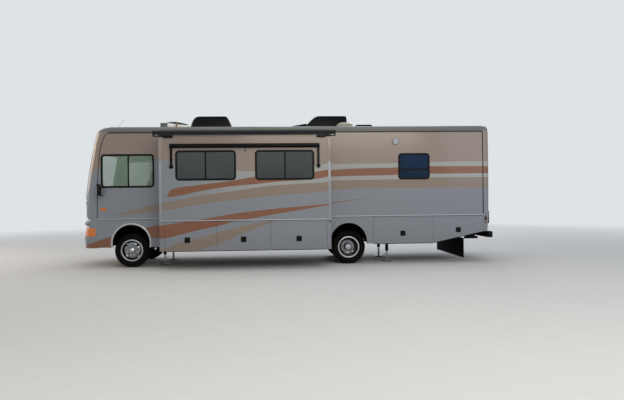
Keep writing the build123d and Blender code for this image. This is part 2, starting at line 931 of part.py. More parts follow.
# Post between the two panes and the wipers that park along the lower edge
with BuildPart() as windscreen_post:
    add(nose_solid(cap_steps[:6], 0))
    add(nose_solid(cap_steps[:6], 30), mode=Mode.SUBTRACT)
    with BuildPart(mode=Mode.PRIVATE) as post_prism:
        with Locations((-1000, 0, (glass_low_z + glass_high_z) / 2)):
            Box(1000, 2 * divider_half, glass_high_z - glass_low_z)
    add(post_prism.part, mode=Mode.INTERSECT)

with BuildPart() as cap_with_post:
    add(front_cap.part)
    add(windscreen_post.part)
keep(cap_with_post, "front_cap")

# Lower front panel. Lamp openings: name, inner Y, outer Y, low Z, high Z, corner
lamp_table = [
    ("headlamp", 640, 1010, 800, 960, 30),
    ("turn_lamp", 1050, 1330, 772, 970, 20),
    ("driving_lamp", 760, 880, 600, 690, 40),
]
lamp_gauge = 32
grille_half = 470
grille_low_z = 690
grille_high_z = 960
grille_corner = 60
grille_gauge = 26
grille_bars = 7
grille_bar_height = 14
intake_half = 520
intake_low_z = 545
intake_high_z = 635
fascia_core = [(nose_low_z - 10, body_half, -1215), (belt_z + 5, body_half, -1140)]


def lamp_prism(inner_y, outer_y, low_z, high_z, corner):
    # One lamp's opening, seen from the front
    with BuildPart() as prism:
        with BuildSketch(Plane.YZ.offset(-1500)):
            with Locations(((inner_y + outer_y) / 2, (low_z + high_z) / 2)):
                RectangleRounded(outer_y - inner_y, high_z - low_z, corner)
        extrude(amount=690)
    return prism.part


with BuildPart() as front_fascia:
    add(nose_solid(fascia_steps, 0))
    add(nose_solid(fascia_core, wall), mode=Mode.SUBTRACT)
    with Locations((seam_x, 0, nose_low_z - 20)):
        Box(
            1500,
            3 * body_half,
            1000,
            align=(Align.MIN, Align.CENTER, Align.MIN),
            mode=Mode.SUBTRACT,
        )
    for name, inner_y, outer_y, low_z, high_z, corner in lamp_table:
        opening = lamp_prism(inner_y, outer_y, low_z, high_z, corner)
        add([opening, opening.mirror(Plane.XZ)], mode=Mode.SUBTRACT)
    add(front_area(grille_half, grille_low_z, grille_high_z, grille_corner))
    extrude(amount=600, dir=(1, 0, 0), mode=Mode.SUBTRACT)
    add(front_area(intake_half, intake_low_z, intake_high_z, 40))
    extrude(amount=600, dir=(1, 0, 0), mode=Mode.SUBTRACT)
keep(front_fascia, "front_fascia")

# Side marker lamps at the cab
marker_x = -622
marker_z = 1415
marker_proud = 16
with BuildPart() as marker_lamps:
    with BuildSketch(side_plane(body_half + marker_proud)):
        with Locations((marker_x, marker_z)):
            RectangleRounded(140, 66, 20)
    extrude(amount=marker_proud)
    mirror(about=Plane.XZ)

with BuildPart() as front_lamps:
    add(nose_solid(fascia_steps[:4], 2))
    add(nose_solid(fascia_steps[:4], lamp_gauge), mode=Mode.SUBTRACT)
    with BuildPart(mode=Mode.PRIVATE) as lamp_prisms:
        for name, inner_y, outer_y, low_z, high_z, corner in lamp_table:
            add(lamp_prism(inner_y, outer_y, low_z, high_z, corner))
    add(lamp_prisms.part, mode=Mode.INTERSECT)
    mirror(about=Plane.XZ)
    add(marker_lamps.part)
keep(front_lamps, "front_lamps")

with BuildPart() as grille:
    add(nose_solid(fascia_steps[:4], 4))
    add(nose_solid(fascia_steps[:4], 4 + grille_gauge), mode=Mode.SUBTRACT)
    with BuildPart(mode=Mode.PRIVATE) as grille_form:
        with BuildSketch(Plane.YZ.offset(-1500)):
            with Locations((0, (grille_low_z + grille_high_z) / 2)):
                RectangleRounded(2 * grille_half, grille_high_z - grille_low_z, grille_corner)
                RectangleRounded(
                    2 * grille_half - 50,
                    grille_high_z - grille_low_z - 50,
                    grille_corner - 25,
                    mode=Mode.SUBTRACT,
                )
            pitch = (grille_high_z - grille_low_z) / (grille_bars + 1)
            with Locations((0, (grille_low_z + grille_high_z) / 2)):
                with GridLocations(1, pitch, 1, grille_bars):
                    Rectangle(2 * grille_half - 26, grille_bar_height)
                Rectangle(24, grille_high_z - grille_low_z - 26)
        extrude(amount=900)
    add(grille_form.part, mode=Mode.INTERSECT)
keep(grille, "grille")

# Rear cap
tail_core_steps = [
    (tail_low_z - 10, body_half, 8770),
    (2300, body_half, 8806),
    (eaves_z + 60, body_half - 5, 8798),
    (roof_z - 15, body_half - 130, 8760),
]


def tail_solid(steps, inset):
    # The rear body between two levels, drawn in by the inset
    with BuildPart() as solid:
        loft(
            [tail_section(z, half - inset, x - inset, tail_radius - inset) for z, half, x in steps],
            ruled=True,
        )
    return solid.part


with BuildPart() as rear_cap:
    add(tail_solid(tail_steps, 0))
    with BuildPart(mode=Mode.PRIVATE) as tail_core:
        add(tail_solid([(z - (35 if z > eaves_z + 60 else 0), half, x) for z, half, x in tail_core_steps], wall))
    add(tail_core.part, mode=Mode.SUBTRACT)
    with Locations((cap_rear_x, 0, 0)):
        Box(
            500,
            3 * body_half,
            9000,
            align=(Align.MAX, Align.CENTER, Align.CENTER),
            mode=Mode.SUBTRACT,
        )
keep(rear_cap, "rear_cap")

# Wheel wells: arched liners behind the skirts. Columns: X, Z, radius of the arch, gap round it
well_table = [
    (front_arch_x, front_arch_z, front_arch_radius, front_liner_gap),
    (rear_arch_x, rear_arch_z, rear_arch_radius, rear_liner_gap),
]
with BuildPart() as wheel_wells:
    for x, z, radius, gap in well_table:
        with BuildSketch(side_plane(body_half - skirt_thickness)):
            with Locations((x, z)):
                Circle(radius + gap + liner_gauge)
                Rectangle(
                    2 * (radius + gap + liner_gauge), z - skirt_low_z - 20, align=(Align.CENTER, Align.MAX)
                )
                Circle(radius + gap, mode=Mode.SUBTRACT)
                Rectangle(
                    2 * (radius + gap), z, align=(Align.CENTER, Align.MAX), mode=Mode.SUBTRACT
                )
            with Locations((x, skirt_low_z + 20)):
                Rectangle(
                    3 * radius, 600, align=(Align.CENTER, Align.MAX), mode=Mode.SUBTRACT
                )
        extrude(amount=body_half - skirt_thickness - liner_inner_y)
    mirror(about=Plane.XZ)

with BuildPart() as window_frames:
    for side, front_x, rear_x, low_z, high_z, uprights, levels in wall_windows:
        add(window_frame(side * body_half, side, front_x, rear_x, low_z, high_z, uprights, levels))
keep(window_frames, "window_frames")

with BuildPart() as side_glass:
    for side, front_x, rear_x, low_z, high_z, uprights, levels in wall_windows:
        add(window_glass(side * body_half, side, front_x, rear_x, low_z, high_z))
keep(side_glass, "side_glass")

# Storage doors in the room's face. Columns: front edge, rear edge
room_doors = [(961, 2137), (2137, 3365), (3365, 4678)]

# The room that slides out: face, box above the floor and storage box below it
room_box_front_x = room_front_x + room_lap
room_box_rear_x = room_rear_x - room_lap
room_box_low_z = floor_z + 7
room_box_high_z = room_high_z - room_lap
room_door_high_z = 1120
room_door_low_z = 455
room_rear_face_y = room_face_y + wall
with BuildPart() as room_shell:
    with BuildSketch(side_plane(room_rear_face_y)):
        with Locations((room_front_x, room_low_z)):
            Rectangle(
                room_rear_x - room_front_x, room_high_z - room_low_z, align=(Align.MIN, Align.MIN)
            )
        for front_x, rear_x, low_z, high_z, uprights, levels in room_windows:
            add(
                window_area(front_x, rear_x, low_z, high_z, frame_width - frame_lip),
                mode=Mode.SUBTRACT,
            )
        door_front_x = room_doors[0][0]
        door_rear_x = room_doors[-1][1]
        with Locations((door_front_x, room_low_z - 10)):
            Rectangle(
                door_rear_x - door_front_x,
                room_door_high_z - room_low_z + 10,
                align=(Align.MIN, Align.MIN),
                mode=Mode.SUBTRACT,
            )
    extrude(amount=wall)
    with BuildSketch(side_plane(room_inner_y)):
        with Locations((room_box_front_x, room_box_low_z)):
            Rectangle(
                room_box_rear_x - room_box_front_x,
                room_box_high_z - room_box_low_z,
                align=(Align.MIN, Align.MIN),
            )
        with Locations((room_box_front_x + room_side, room_box_low_z + room_side)):
            Rectangle(
                room_box_rear_x - room_box_front_x - 2 * room_side,
                room_box_high_z - room_box_low_z - 2 * room_side,
                align=(Align.MIN, Align.MIN),
                mode=Mode.SUBTRACT,
            )
    extrude(amount=room_inner_y - room_rear_face_y)
    with BuildSketch(side_plane(bay_inner_y)):
        with Locations((room_box_front_x, room_low_z)):
            Rectangle(
                room_box_rear_x - room_box_front_x, bay_top_z - room_low_z, align=(Align.MIN, Align.MIN)
            )
        dividers = [room_box_front_x + bay_gauge, room_doors[0][1], room_doors[1][1], room_box_rear_x]
        for front_x, rear_x in zip(dividers, dividers[1:]):
            with Locations((front_x, room_low_z + bay_gauge)):
                Rectangle(
                    rear_x - front_x - bay_gauge,
                    bay_top_z - room_low_z - 2 * bay_gauge,
                    align=(Align.MIN, Align.MIN),
                    mode=Mode.SUBTRACT,
                )
    extrude(amount=bay_inner_y - room_rear_face_y)
    with BuildSketch(side_plane(bay_inner_y)):
        with Locations((room_box_front_x, room_low_z)):
            Rectangle(
                room_box_rear_x - room_box_front_x, bay_top_z - room_low_z, align=(Align.MIN, Align.MIN)
            )
    extrude(amount=bay_gauge)
    with BuildSketch(side_plane(room_inner_y)):
        for x in (1100, 2100, 3500, 4500):
            with Locations((x, floor_z + slide_gap)):
                Rectangle(60, room_box_low_z - floor_z, align=(Align.CENTER, Align.MIN))
    extrude(amount=room_inner_y - room_rear_face_y - 600)
    with BuildSketch(side_plane(room_face_y)):
        with Locations((room_front_x, room_trim_z)):
            Rectangle(room_rear_x - room_front_x, trim_height, align=(Align.MIN, Align.MIN))
    extrude(amount=trim_proud)
keep(room_shell, "room_shell")

with BuildPart() as room_window_frames:
    for front_x, rear_x, low_z, high_z, uprights, levels in room_windows:
        add(window_frame(room_face_y, -1, front_x, rear_x, low_z, high_z, uprights, levels))
keep(room_window_frames, "room_window_frames")

with BuildPart() as room_glass:
    for front_x, rear_x, low_z, high_z, uprights, levels in room_windows:
        add(window_glass(room_face_y, -1, front_x, rear_x, low_z, high_z))
keep(room_glass, "room_glass")


def lid(face_y, side, outline, hinge_z, front_x, rear_x, latch_x, latch_z):
    # Storage door: panel, hinge roll with its leaf along the top, and the square latch
    axis_y = face_y + side * (hinge_radius + slide_gap)
    with BuildPart() as door:
        with BuildSketch(side_plane(face_y)):
            add(outline)
        extrude(amount=side * door_thickness)
        with BuildSketch(Plane.YZ.offset(front_x + 60)):
            with Locations((axis_y, hinge_z)):
                Circle(hinge_radius)
            with Locations((face_y, hinge_z)):
                Rectangle(
                    hinge_leaf,
                    30,
                    align=(Align.MAX if side < 0 else Align.MIN, Align.MAX),
                )
        extrude(amount=rear_x - front_x - 120)
        with BuildSketch(side_plane(face_y)):
            with Locations((latch_x, latch_z)):
                RectangleRounded(latch_size, latch_size, 14)
        extrude(amount=-side * latch_proud)
        with BuildSketch(side_plane(face_y + side * latch_proud)):
            with Locations((latch_x, latch_z)):
                RectangleRounded(latch_size - 30, latch_size - 30, 8)
        extrude(amount=side * (latch_proud + 6), mode=Mode.SUBTRACT)
    return door.part


def door_panel(front_x, rear_x, low_z, high_z):
    # Door's outline, clear of the opening and of its neighbours
    with BuildSketch(Plane.XY) as panel:
        add(skirt_outline(front_x, rear_x, low_z))
        with Locations((front_x - 10, high_z)):
            Rectangle(rear_x - front_x + 20, 400, align=(Align.MIN, Align.MIN), mode=Mode.SUBTRACT)
    return panel.sketch


room_latches = (1469, 2749, 4025)
room_latch_z = 703
for number, (span, latch_x) in enumerate(zip(room_doors, room_latches), 1):
    front_x = span[0] + (door_gap if number == 1 else door_gap / 2)
    rear_x = span[1] - (door_gap if number == 3 else door_gap / 2)
    with BuildPart() as room_door:
        with BuildSketch(Plane.XY, mode=Mode.PRIVATE) as panel:
            with Locations((front_x, room_door_low_z)):
                Rectangle(
                    rear_x - front_x,
                    room_door_high_z - door_gap - room_door_low_z,
                    align=(Align.MIN, Align.MIN),
                )
        add(
            lid(
                room_face_y, -1, panel.sketch, room_door_high_z, front_x, rear_x, latch_x, room_latch_z
            )
        )
    keep(room_door, f"room_door_{number}")

wall_latch_z = 743
for name, side, first_x, last_x, latch_x in wall_doors:
    shared_front = any(last == first_x for n, s, first, last, x in wall_doors if s == side)
    shared_rear = any(first == last_x for n, s, first, last, x in wall_doors if s == side)
    front_x = first_x + (door_gap / 2 if shared_front else door_gap)
    rear_x = last_x - (door_gap / 2 if shared_rear else door_gap)
    latch_z = rear_slope_z(latch_x, wall_latch_z) - (64 if latch_x > slope_start_x else 0)
    with BuildPart() as wall_door:
        add(
            lid(
                side * body_half,
                side,
                door_panel(front_x, rear_x, skirt_low_z, lid_top_z - door_gap),
                lid_top_z,
                front_x,
                rear_x,
                latch_x,
                latch_z,
            )
        )
    keep(wall_door, name)

# Entry door, hinged at its front edge
entry_hinge_radius = 8
entry_hinge_x = entry_front_x - 4
entry_hinge_y = body_half + entry_hinge_radius + slide_gap
entry_free_gap = 8
entry_window_half = 190
with BuildPart() as entry_door:
    with BuildSketch(side_plane(body_half)):
        with Locations((entry_front_x + door_gap, entry_low_z + door_gap)):
            Rectangle(
                entry_width - door_gap - entry_free_gap,
                entry_high_z - entry_low_z - 2 * door_gap,
                align=(Align.MIN, Align.MIN),
            )
        with Locations((entry_front_x + entry_width / 2, 2420)):
            RectangleRounded(2 * entry_window_half, 620, 60, mode=Mode.SUBTRACT)
    extrude(amount=skirt_thickness)
    for z in (entry_low_z + 180, (entry_low_z + entry_high_z) / 2, entry_high_z - 260):
        with Locations((entry_hinge_x, entry_hinge_y, z)):
            Cylinder(entry_hinge_radius, 80, align=(Align.CENTER, Align.CENTER, Align.MIN))
        with Locations((entry_hinge_x, body_half, z)):
            Box(60, 4, 80, align=(Align.MIN, Align.MIN, Align.MIN))
    with Locations((entry_front_x + entry_width - 110, body_half, 1700)):
        Box(70, 12, 170, align=(Align.CENTER, Align.MIN, Align.CENTER))
keep(entry_door, "entry_door")

with BuildPart() as entry_glass:
    with BuildSketch(side_plane(body_half - 10)):
        with Locations((entry_front_x + entry_width / 2, 2420)):
            RectangleRounded(2 * entry_window_half, 620, 60)
    extrude(amount=glass_gauge)
keep(entry_glass, "entry_glass")


# Roof equipment. Air conditioners: base front X, base rear X, top front X, top rear X
air_table = [(1326, 2382, 1494, 2287), (4341, 5323, 4539, 5272)]
air_half = 350
air_top_half = 270
air_height = 325
with BuildPart() as air_conditioners:
    for base_front, base_rear, top_front, top_rear in air_table:
        with BuildSketch(Plane.XY.offset(roof_z)):
            with Locations(((base_front + base_rear) / 2, 0)):
                RectangleRounded(base_rear - base_front, 2 * air_half, 120)
        with BuildSketch(Plane.XY.offset(roof_z + air_height * 0.55)):
            with Locations(((base_front + 2 * top_front + base_rear + 2 * top_rear) / 6, 0)):
                RectangleRounded(
                    (2 * top_rear + base_rear - 2 * top_front - base_front) / 3 + 60,
                    air_half + air_top_half + 40,
                    120,
                )
        with BuildSketch(Plane.XY.offset(roof_z + air_height)):
            with Locations(((top_front + top_rear) / 2, 0)):
                RectangleRounded(top_rear - top_front, 2 * air_top_half, 120)
        loft(ruled=True)
keep(air_conditioners, "air_conditioners")

vent_front_x = 620
vent_length = 560
vent_half = 230
vent_curb = 90
vent_lid_gauge = 18
with BuildPart() as roof_vent:
    with Locations((vent_front_x, 0, roof_z)):
        Box(vent_length, 2 * vent_half, vent_curb, align=(Align.MIN, Align.CENTER, Align.MIN))
        Box(
            vent_length - 160, 2 * vent_half - 60, vent_curb + 80, align=(Align.MIN, Align.CENTER, Align.MIN)
        )
    with BuildSketch(side_plane(vent_half + 20)):
        with BuildLine():
            Polyline(
                (vent_front_x + vent_length + 80, roof_z + vent_curb - 4),
                (vent_front_x + vent_length + 84, roof_z + vent_curb + 14),
                (vent_front_x + 150, roof_z + 214),
                (vent_front_x + 143, roof_z + 190),
                (vent_front_x + vent_length - 60, roof_z + vent_curb - 4),
                close=True,
            )
        make_face()
    extrude(amount=2 * (vent_half + 20))

with BuildPart() as roof_fittings:
    with Locations((4133, 0, roof_z)):
        Box(338, 300, 130, align=(Align.CENTER, Align.CENTER, Align.MIN))
    with Locations((5252, -800, roof_z)):
        Cylinder(203, 80, align=(Align.CENTER, Align.CENTER, Align.MIN))
    with BuildSketch(Plane.XY.offset(roof_z + 80)):
        with Locations((5252, -800)):
            Circle(190)
    extrude(amount=46, taper=60)
    with Locations((5810, 0, roof_z)):
        Cylinder(250, 60, align=(Align.CENTER, Align.CENTER, Align.MIN))
    with BuildSketch(Plane.XY.offset(roof_z + 60)):
        with Locations((5810, 0)):
            Circle(235)
    extrude(amount=40, taper=50)
    with Locations((-540, -300, roof_z)):
        Cylinder(32, 44, align=(Align.CENTER, Align.CENTER, Align.MIN))
    with BuildLine() as whip_path:
        Line((-540, -300, roof_z + 40), (-360, -300, roof_z + 294))
    with BuildSketch(Plane(origin=whip_path.line @ 0, z_dir=whip_path.line % 0)):
        Circle(4)
    sweep()
    with BuildSketch(side_plane(-body_half)):
        with Locations((6451, 3002)):
            Circle(90)
    extrude(amount=30, taper=35)
    add(roof_vent.part)
keep(roof_fittings, "roof_fittings")

# Rear: ladder, lamps, bumper with its receiver and the guard flap
ladder_inset = 355
ladder_width = 380
ladder_rails = (body_half - ladder_inset - ladder_width, body_half - ladder_inset)
ladder_x = 8890
ladder_low_z = 1050
ladder_high_z = 3520
ladder_radius = 14
standoff_radius = 10
rung_pitch = 300
with BuildPart() as ladder:
    for y in ladder_rails:
        with Locations((ladder_x, y, ladder_low_z)):
            Cylinder(
                ladder_radius,
                ladder_high_z - ladder_low_z,
                align=(Align.CENTER, Align.CENTER, Align.MIN),
            )
        for z, half, tail_x in tail_steps[1:3]:
            with BuildSketch(Plane.YZ.offset(tail_x + slide_gap)):
                with Locations((y, z)):
                    Circle(standoff_radius)
            extrude(amount=ladder_x - tail_x - slide_gap)
        with BuildSketch(Plane.YZ.offset(8620)):
            with Locations((y, roof_z + 70)):
                Circle(standoff_radius)
        extrude(amount=ladder_x - 8620)
        with Locations((8640, y, roof_z)):
            Cylinder(ladder_radius, 90, align=(Align.CENTER, Align.CENTER, Align.MIN))
    rungs = int((ladder_high_z - ladder_low_z - 200) / rung_pitch)
    with BuildSketch(side_plane(ladder_rails[1])):
        for number in range(rungs + 1):
            with Locations((ladder_x, ladder_low_z + 120 + number * rung_pitch)):
                Circle(standoff_radius)
    extrude(amount=ladder_rails[1] - ladder_rails[0])
keep(ladder, "ladder")

# Tail lamps on the rear cap, and its upright markers round the corner
tail_lamp_low_z = 960
tail_lamp_high_z = 1260
tail_lamp_inset = 180
tail_lamp_y = body_half - tail_lamp_inset
tail_lamp_width = 150
tail_marker_x = 8712
tail_marker_z = 1238
tail_marker_width = 44
tail_marker_height = 84
with BuildPart() as tail_lamps:
    add(tail_solid(tail_steps[:4], -14))
    add(tail_solid(tail_steps[:4], 0), mode=Mode.SUBTRACT)
    with BuildPart(mode=Mode.PRIVATE) as tail_prisms:
        with BuildSketch(Plane.YZ.offset(8670)):
            with Locations((-tail_lamp_y, (tail_lamp_low_z + tail_lamp_high_z) / 2)):
                RectangleRounded(tail_lamp_width, tail_lamp_high_z - tail_lamp_low_z, 30)
        extrude(amount=400)
        with BuildSketch(side_plane(body_half + 60)):
            with Locations((tail_marker_x, tail_marker_z)):
                RectangleRounded(tail_marker_width, tail_marker_height, 14)
        extrude(amount=-160)
    add(tail_prisms.part, mode=Mode.INTERSECT)
    mirror(about=Plane.XZ)
keep(tail_lamps, "tail_lamps")

bumper_half = 1150
bumper_x = 8812
bumper_rear_x = 8917
bumper_low_z = 600
bumper_high_z = 749
receiver_inner = 51
receiver_outer = 64
receiver_front_x = 8560
receiver_z = 530
receiver_pin_radius = 8
with BuildPart() as rear_bumper:
    with BuildSketch(Plane.YZ.offset(bumper_x)):
        with Locations((0, (bumper_low_z + bumper_high_z) / 2)):
            RectangleRounded(2 * bumper_half, bumper_high_z - bumper_low_z, 20)
    extrude(amount=bumper_rear_x - bumper_x)
    with Locations([(bumper_x, side * (rail_outer_y - 6), rail_low_z + 20) for side in (-1, 1)]):
        Box(
            bumper_x - rail_rear_x,
            12,
            120,
            align=(Align.MAX, Align.CENTER, Align.MIN),
        )
    with Locations((bumper_x, 0, receiver_z)):
        Box(200, 80, 150, align=(Align.MAX, Align.CENTER, Align.MIN))
    with Locations((receiver_front_x, 0, receiver_z)):
        Box(
            bumper_rear_x - receiver_front_x,
            receiver_outer,
            receiver_outer,
            align=(Align.MIN, Align.CENTER, Align.CENTER),
        )
        Box(
            bumper_rear_x - receiver_front_x,
            receiver_inner,
            receiver_inner,
            align=(Align.MIN, Align.CENTER, Align.CENTER),
            mode=Mode.SUBTRACT,
        )
    with BuildSketch(side_plane(receiver_outer)):
        with Locations((bumper_rear_x - 45, receiver_z)):
            Circle(receiver_pin_radius)
    extrude(amount=2 * receiver_outer, mode=Mode.SUBTRACT)
keep(rear_bumper, "rear_bumper")

guard_x = 8140
guard_gauge = 14
guard_inset = 65
guard_half = body_half - guard_inset
guard_low_z = 109
with BuildPart() as rock_guard:
    with Locations((guard_x, 0, guard_low_z)):
        Box(
            guard_gauge,
            2 * guard_half,
            rail_low_z - guard_low_z,
            align=(Align.MIN, Align.CENTER, Align.MIN),
        )

with BuildPart() as splash_guards:
    add(wheel_wells.part)
    add(rock_guard.part)
keep(splash_guards, "splash_guards")

# Mirrors: head hung from an arm that stands off the front corner
mirror_front_x = -690
mirror_depth = 105
mirror_width = 230
mirror_standoff = 55
mirror_inner_y = body_half + mirror_standoff
mirror_low_z = 1745
mirror_height = 210
mirror_arm_radius = 13
with BuildPart() as mirrors:
    with BuildSketch(Plane.XY.offset(mirror_low_z)):
        with Locations((mirror_front_x, mirror_inner_y)):
            Rectangle(mirror_depth, mirror_width, align=(Align.MIN, Align.MIN))
    extrude(amount=mirror_height)
    fillet(mirrors.edges(), 22)
    with BuildLine() as arm_path:
        FilletPolyline(
            (-730, body_half, 1960),
            (-730, mirror_inner_y + 110, 2010),
            (-640, mirror_inner_y + 110, 2010),
            (-640, mirror_inner_y + 110, mirror_low_z + mirror_height - 20),
            radius=35,
        )
    with BuildSketch(Plane(origin=arm_path.line @ 0, z_dir=arm_path.line % 0)):
        Circle(mirror_arm_radius)
    sweep()
    with BuildSketch(side_plane(body_half + 14)):
        with Locations((-730, 1960)):
            Circle(36)
    extrude(amount=14)
    mirror(about=Plane.XZ)
    with Locations((-730, 0, 1960)):
        Box(200, 2 * body_half, 200, mode=Mode.SUBTRACT)

# Cab inside the glass: dashboard with steering wheel, and two seats
dash_half = 1020
dash_low_z = 1480
dash_top_z = 1600
with BuildPart() as dashboard:
    with BuildSketch(side_plane(dash_half)):
        with BuildLine():
            Polyline(
                (-960, floor_z),
                (-900, floor_z),
                (-900, dash_low_z - 60),
                (-640, dash_low_z - 40),
                (-620, dash_top_z),
                (-700, dash_top_z + 60),
                (-960, dash_top_z),
                close=True,
            )
        make_face()
    extrude(amount=2 * dash_half)
    with BuildLine() as column_path:
        Line((-660, -600, dash_low_z + 60), (-500, -600, dash_low_z + 160))
    with BuildSketch(Plane(origin=column_path.line @ 0, z_dir=column_path.line % 0)):
        Circle(35)
    sweep()
    with BuildSketch(Plane(origin=column_path.line @ 1, z_dir=column_path.line % 1)):
        Circle(225)
        Circle(200, mode=Mode.SUBTRACT)
        Rectangle(420, 40)
    extrude(amount=26, both=True)

seat_y = 600
seat_half = 260
seat_front_x = -260
with BuildPart() as seats:
    with BuildSketch(side_plane(seat_y + seat_half)):
        with BuildLine():
            Polyline(
                (seat_front_x, 1500),
                (seat_front_x + 20, 1640),
                (seat_front_x + 440, 1620),
                (seat_front_x + 560, 2380),
                (seat_front_x + 700, 2380),
                (seat_front_x + 620, 1500),
                close=True,
            )
        make_face()
    extrude(amount=2 * seat_half)
    with Locations((seat_front_x + 300, seat_y, floor_z)):
        Box(380, 380, 1510 - floor_z, align=(Align.CENTER, Align.CENTER, Align.MIN))
    mirror(about=Plane.XZ)

with BuildPart() as cab_interior:
    add(dashboard.part)
    add(seats.part)
keep(cab_interior, "cab_interior")

# Awnings
awning_radius = 58
awning_y = body_half + 80
awning_z = 3140
awning_ends = (1480, 5720)
awning_arm = 46
with BuildPart() as patio_awning:
    with BuildSketch(Plane.YZ.offset(awning_ends[0])):
        with Locations((awning_y, awning_z)):
            Circle(awning_radius)
    extrude(amount=awning_ends[1] - awning_ends[0])
    with Locations([(x, body_half, 1990) for x in (awning_ends[0] + 30, awning_ends[1] - 30)]):
        Box(awning_arm, 30, awning_z - 1990, align=(Align.CENTER, Align.MIN, Align.MIN))
    with Locations([(x, body_half, awning_z - 60) for x in (awning_ends[0] + 30, awning_ends[1] - 30)]):
        Box(awning_arm, awning_y - body_half, 60, align=(Align.CENTER, Align.MIN, Align.MIN))
keep(patio_awning, "patio_awning")

cover_ends = (1100, 4516)
cover_radius = 48
cover_z = 2854
cover_arm_low_z = 2384
cover_arm_width = 52
cover_arm_end = 46
cover_arm_xs = (1126, 4490)
with BuildPart() as window_awning:
    with BuildSketch(Plane.YZ.offset(cover_ends[0])):
        with Locations((room_face_y - cover_radius, cover_z)):
            Circle(cover_radius)
    extrude(amount=cover_ends[1] - cover_ends[0])
    with BuildSketch(side_plane(room_face_y)):
        with Locations([(x, cover_arm_low_z) for x in cover_arm_xs]):
            Rectangle(cover_arm_width, cover_z - cover_arm_low_z, align=(Align.CENTER, Align.MIN))
            Circle(cover_arm_end)
    extrude(amount=30)

topper_ends = (729, 4887)
topper_radius = 46
topper_y = -2130
topper_z = 3154
topper_arm_z = 3066
topper_arm_height = 26
topper_arm_length = 430
topper_spring_x = 230
topper_spring_length = 205
topper_spring_height = 52
with BuildPart() as slide_topper:
    with BuildSketch(Plane.YZ.offset(topper_ends[0])):
        with Locations((topper_y, topper_z)):
            Circle(topper_radius)
    extrude(amount=topper_ends[1] - topper_ends[0])
    for end, inward in ((topper_ends[0], 1), (topper_ends[1], -1)):
        align_x = Align.MIN if inward > 0 else Align.MAX
        with Locations((end, room_face_y, topper_arm_z)):
            Box(topper_arm_length, 40, topper_arm_height, align=(align_x, Align.MAX, Align.MIN))
        with Locations((end + inward * topper_spring_x, room_face_y, topper_arm_z + topper_arm_height)):
            Box(
                topper_spring_length,
                44,
                topper_spring_height,
                align=(align_x, Align.MAX, Align.MAX),
            )
        with Locations((end, topper_y - 10, topper_arm_z)):
            Box(24, room_face_y - topper_y + 10, topper_z - topper_arm_z, align=(align_x, Align.MIN, Align.MIN))

with BuildPart() as room_awnings:
    add(window_awning.part)
    add(slide_topper.part)
keep(room_awnings, "room_awnings")

fabric_gauge = 3
fabric_inner_y = -(body_half + gutter_proud + slide_gap)
fabric_inner_z = gutter_z + 6
fabric_outer_z = topper_z + topper_radius + slide_gap
with BuildPart() as topper_fabric:
    with BuildSketch(Plane.YZ.offset(room_front_x + 20)):
        with BuildLine():
            Polyline(
                (fabric_inner_y, fabric_inner_z),
                (fabric_inner_y, fabric_inner_z + fabric_gauge),
                (topper_y, fabric_outer_z + fabric_gauge),
                (topper_y, fabric_outer_z),
                close=True,
            )
        make_face()
    extrude(amount=room_rear_x - room_front_x - 40)
keep(topper_fabric, "topper_fabric")

# Wipers parked below the glass
wiper_z = 1560
with BuildPart() as wipers:
    add(nose_solid(cap_steps[:4], -18))
    add(nose_solid(cap_steps[:4], 0), mode=Mode.SUBTRACT)
    with BuildPart(mode=Mode.PRIVATE) as wiper_form:
        with BuildSketch(Plane.YZ.offset(-1500)):
            with Locations([(side * 560, wiper_z) for side in (-1, 1)]):
                RectangleRounded(900, 26, 12)
            with Locations([(side * 960, wiper_z) for side in (-1, 1)]):
                Circle(30)
        extrude(amount=700)
    add(wiper_form.part, mode=Mode.INTERSECT)

with BuildPart() as mirrors_and_wipers:
    add(mirrors.part)
    add(wipers.part)
keep(mirrors_and_wipers, "mirrors_and_wipers")

# The frame of reference: middle of the overall box, on the ground
whole = Compound(children=[Compound(piece.part.solids()) for piece in pieces]).bounding_box()
shift = Location((-(whole.min.X + whole.max.X) / 2, -(whole.min.Y + whole.max.Y) / 2, -whole.min.Z))

os.makedirs("parts", exist_ok=True)
for piece in pieces:
    placed = piece.part.moved(shift)
    placed.label = piece.part.label
    export_step(placed, f"parts/{placed.label}.step")
print("overall", whole.size)
print("shift", shift.position)
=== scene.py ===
import math

import bmesh
import bpy
from mathutils import Matrix, Vector
from mathutils.bvhtree import BVHTree


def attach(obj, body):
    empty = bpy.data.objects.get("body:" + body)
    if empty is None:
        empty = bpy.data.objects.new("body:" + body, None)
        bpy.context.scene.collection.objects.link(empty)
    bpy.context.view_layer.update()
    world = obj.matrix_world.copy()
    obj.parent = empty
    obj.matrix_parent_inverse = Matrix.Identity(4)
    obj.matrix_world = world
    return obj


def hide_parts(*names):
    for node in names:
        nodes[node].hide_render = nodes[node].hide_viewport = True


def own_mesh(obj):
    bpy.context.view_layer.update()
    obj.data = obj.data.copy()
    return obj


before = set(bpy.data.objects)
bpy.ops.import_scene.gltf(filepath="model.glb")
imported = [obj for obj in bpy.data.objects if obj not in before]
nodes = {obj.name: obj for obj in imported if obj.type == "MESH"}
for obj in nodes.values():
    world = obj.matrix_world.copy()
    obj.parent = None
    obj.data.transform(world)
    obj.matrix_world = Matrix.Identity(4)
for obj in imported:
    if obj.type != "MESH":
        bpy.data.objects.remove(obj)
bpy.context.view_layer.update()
scene = bpy.context.scene

# The drawing's zero is the front axle on the centreline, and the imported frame's is the middle of the body
bodyShift = Vector((-3.833, 0.298, 0))
midY = bodyShift.y


def at(x, y, z):
    # A point of the drawing, in millimetres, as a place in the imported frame
    return Vector((x, y, z)) / 1000 + bodyShift


def sideOf(centre):
    # How far a place is from the coach's centreline, in the drawing's millimetres
    return abs(centre.y - midY) * 1000


def drawingX(centre):
    return (centre.x - bodyShift.x) * 1000


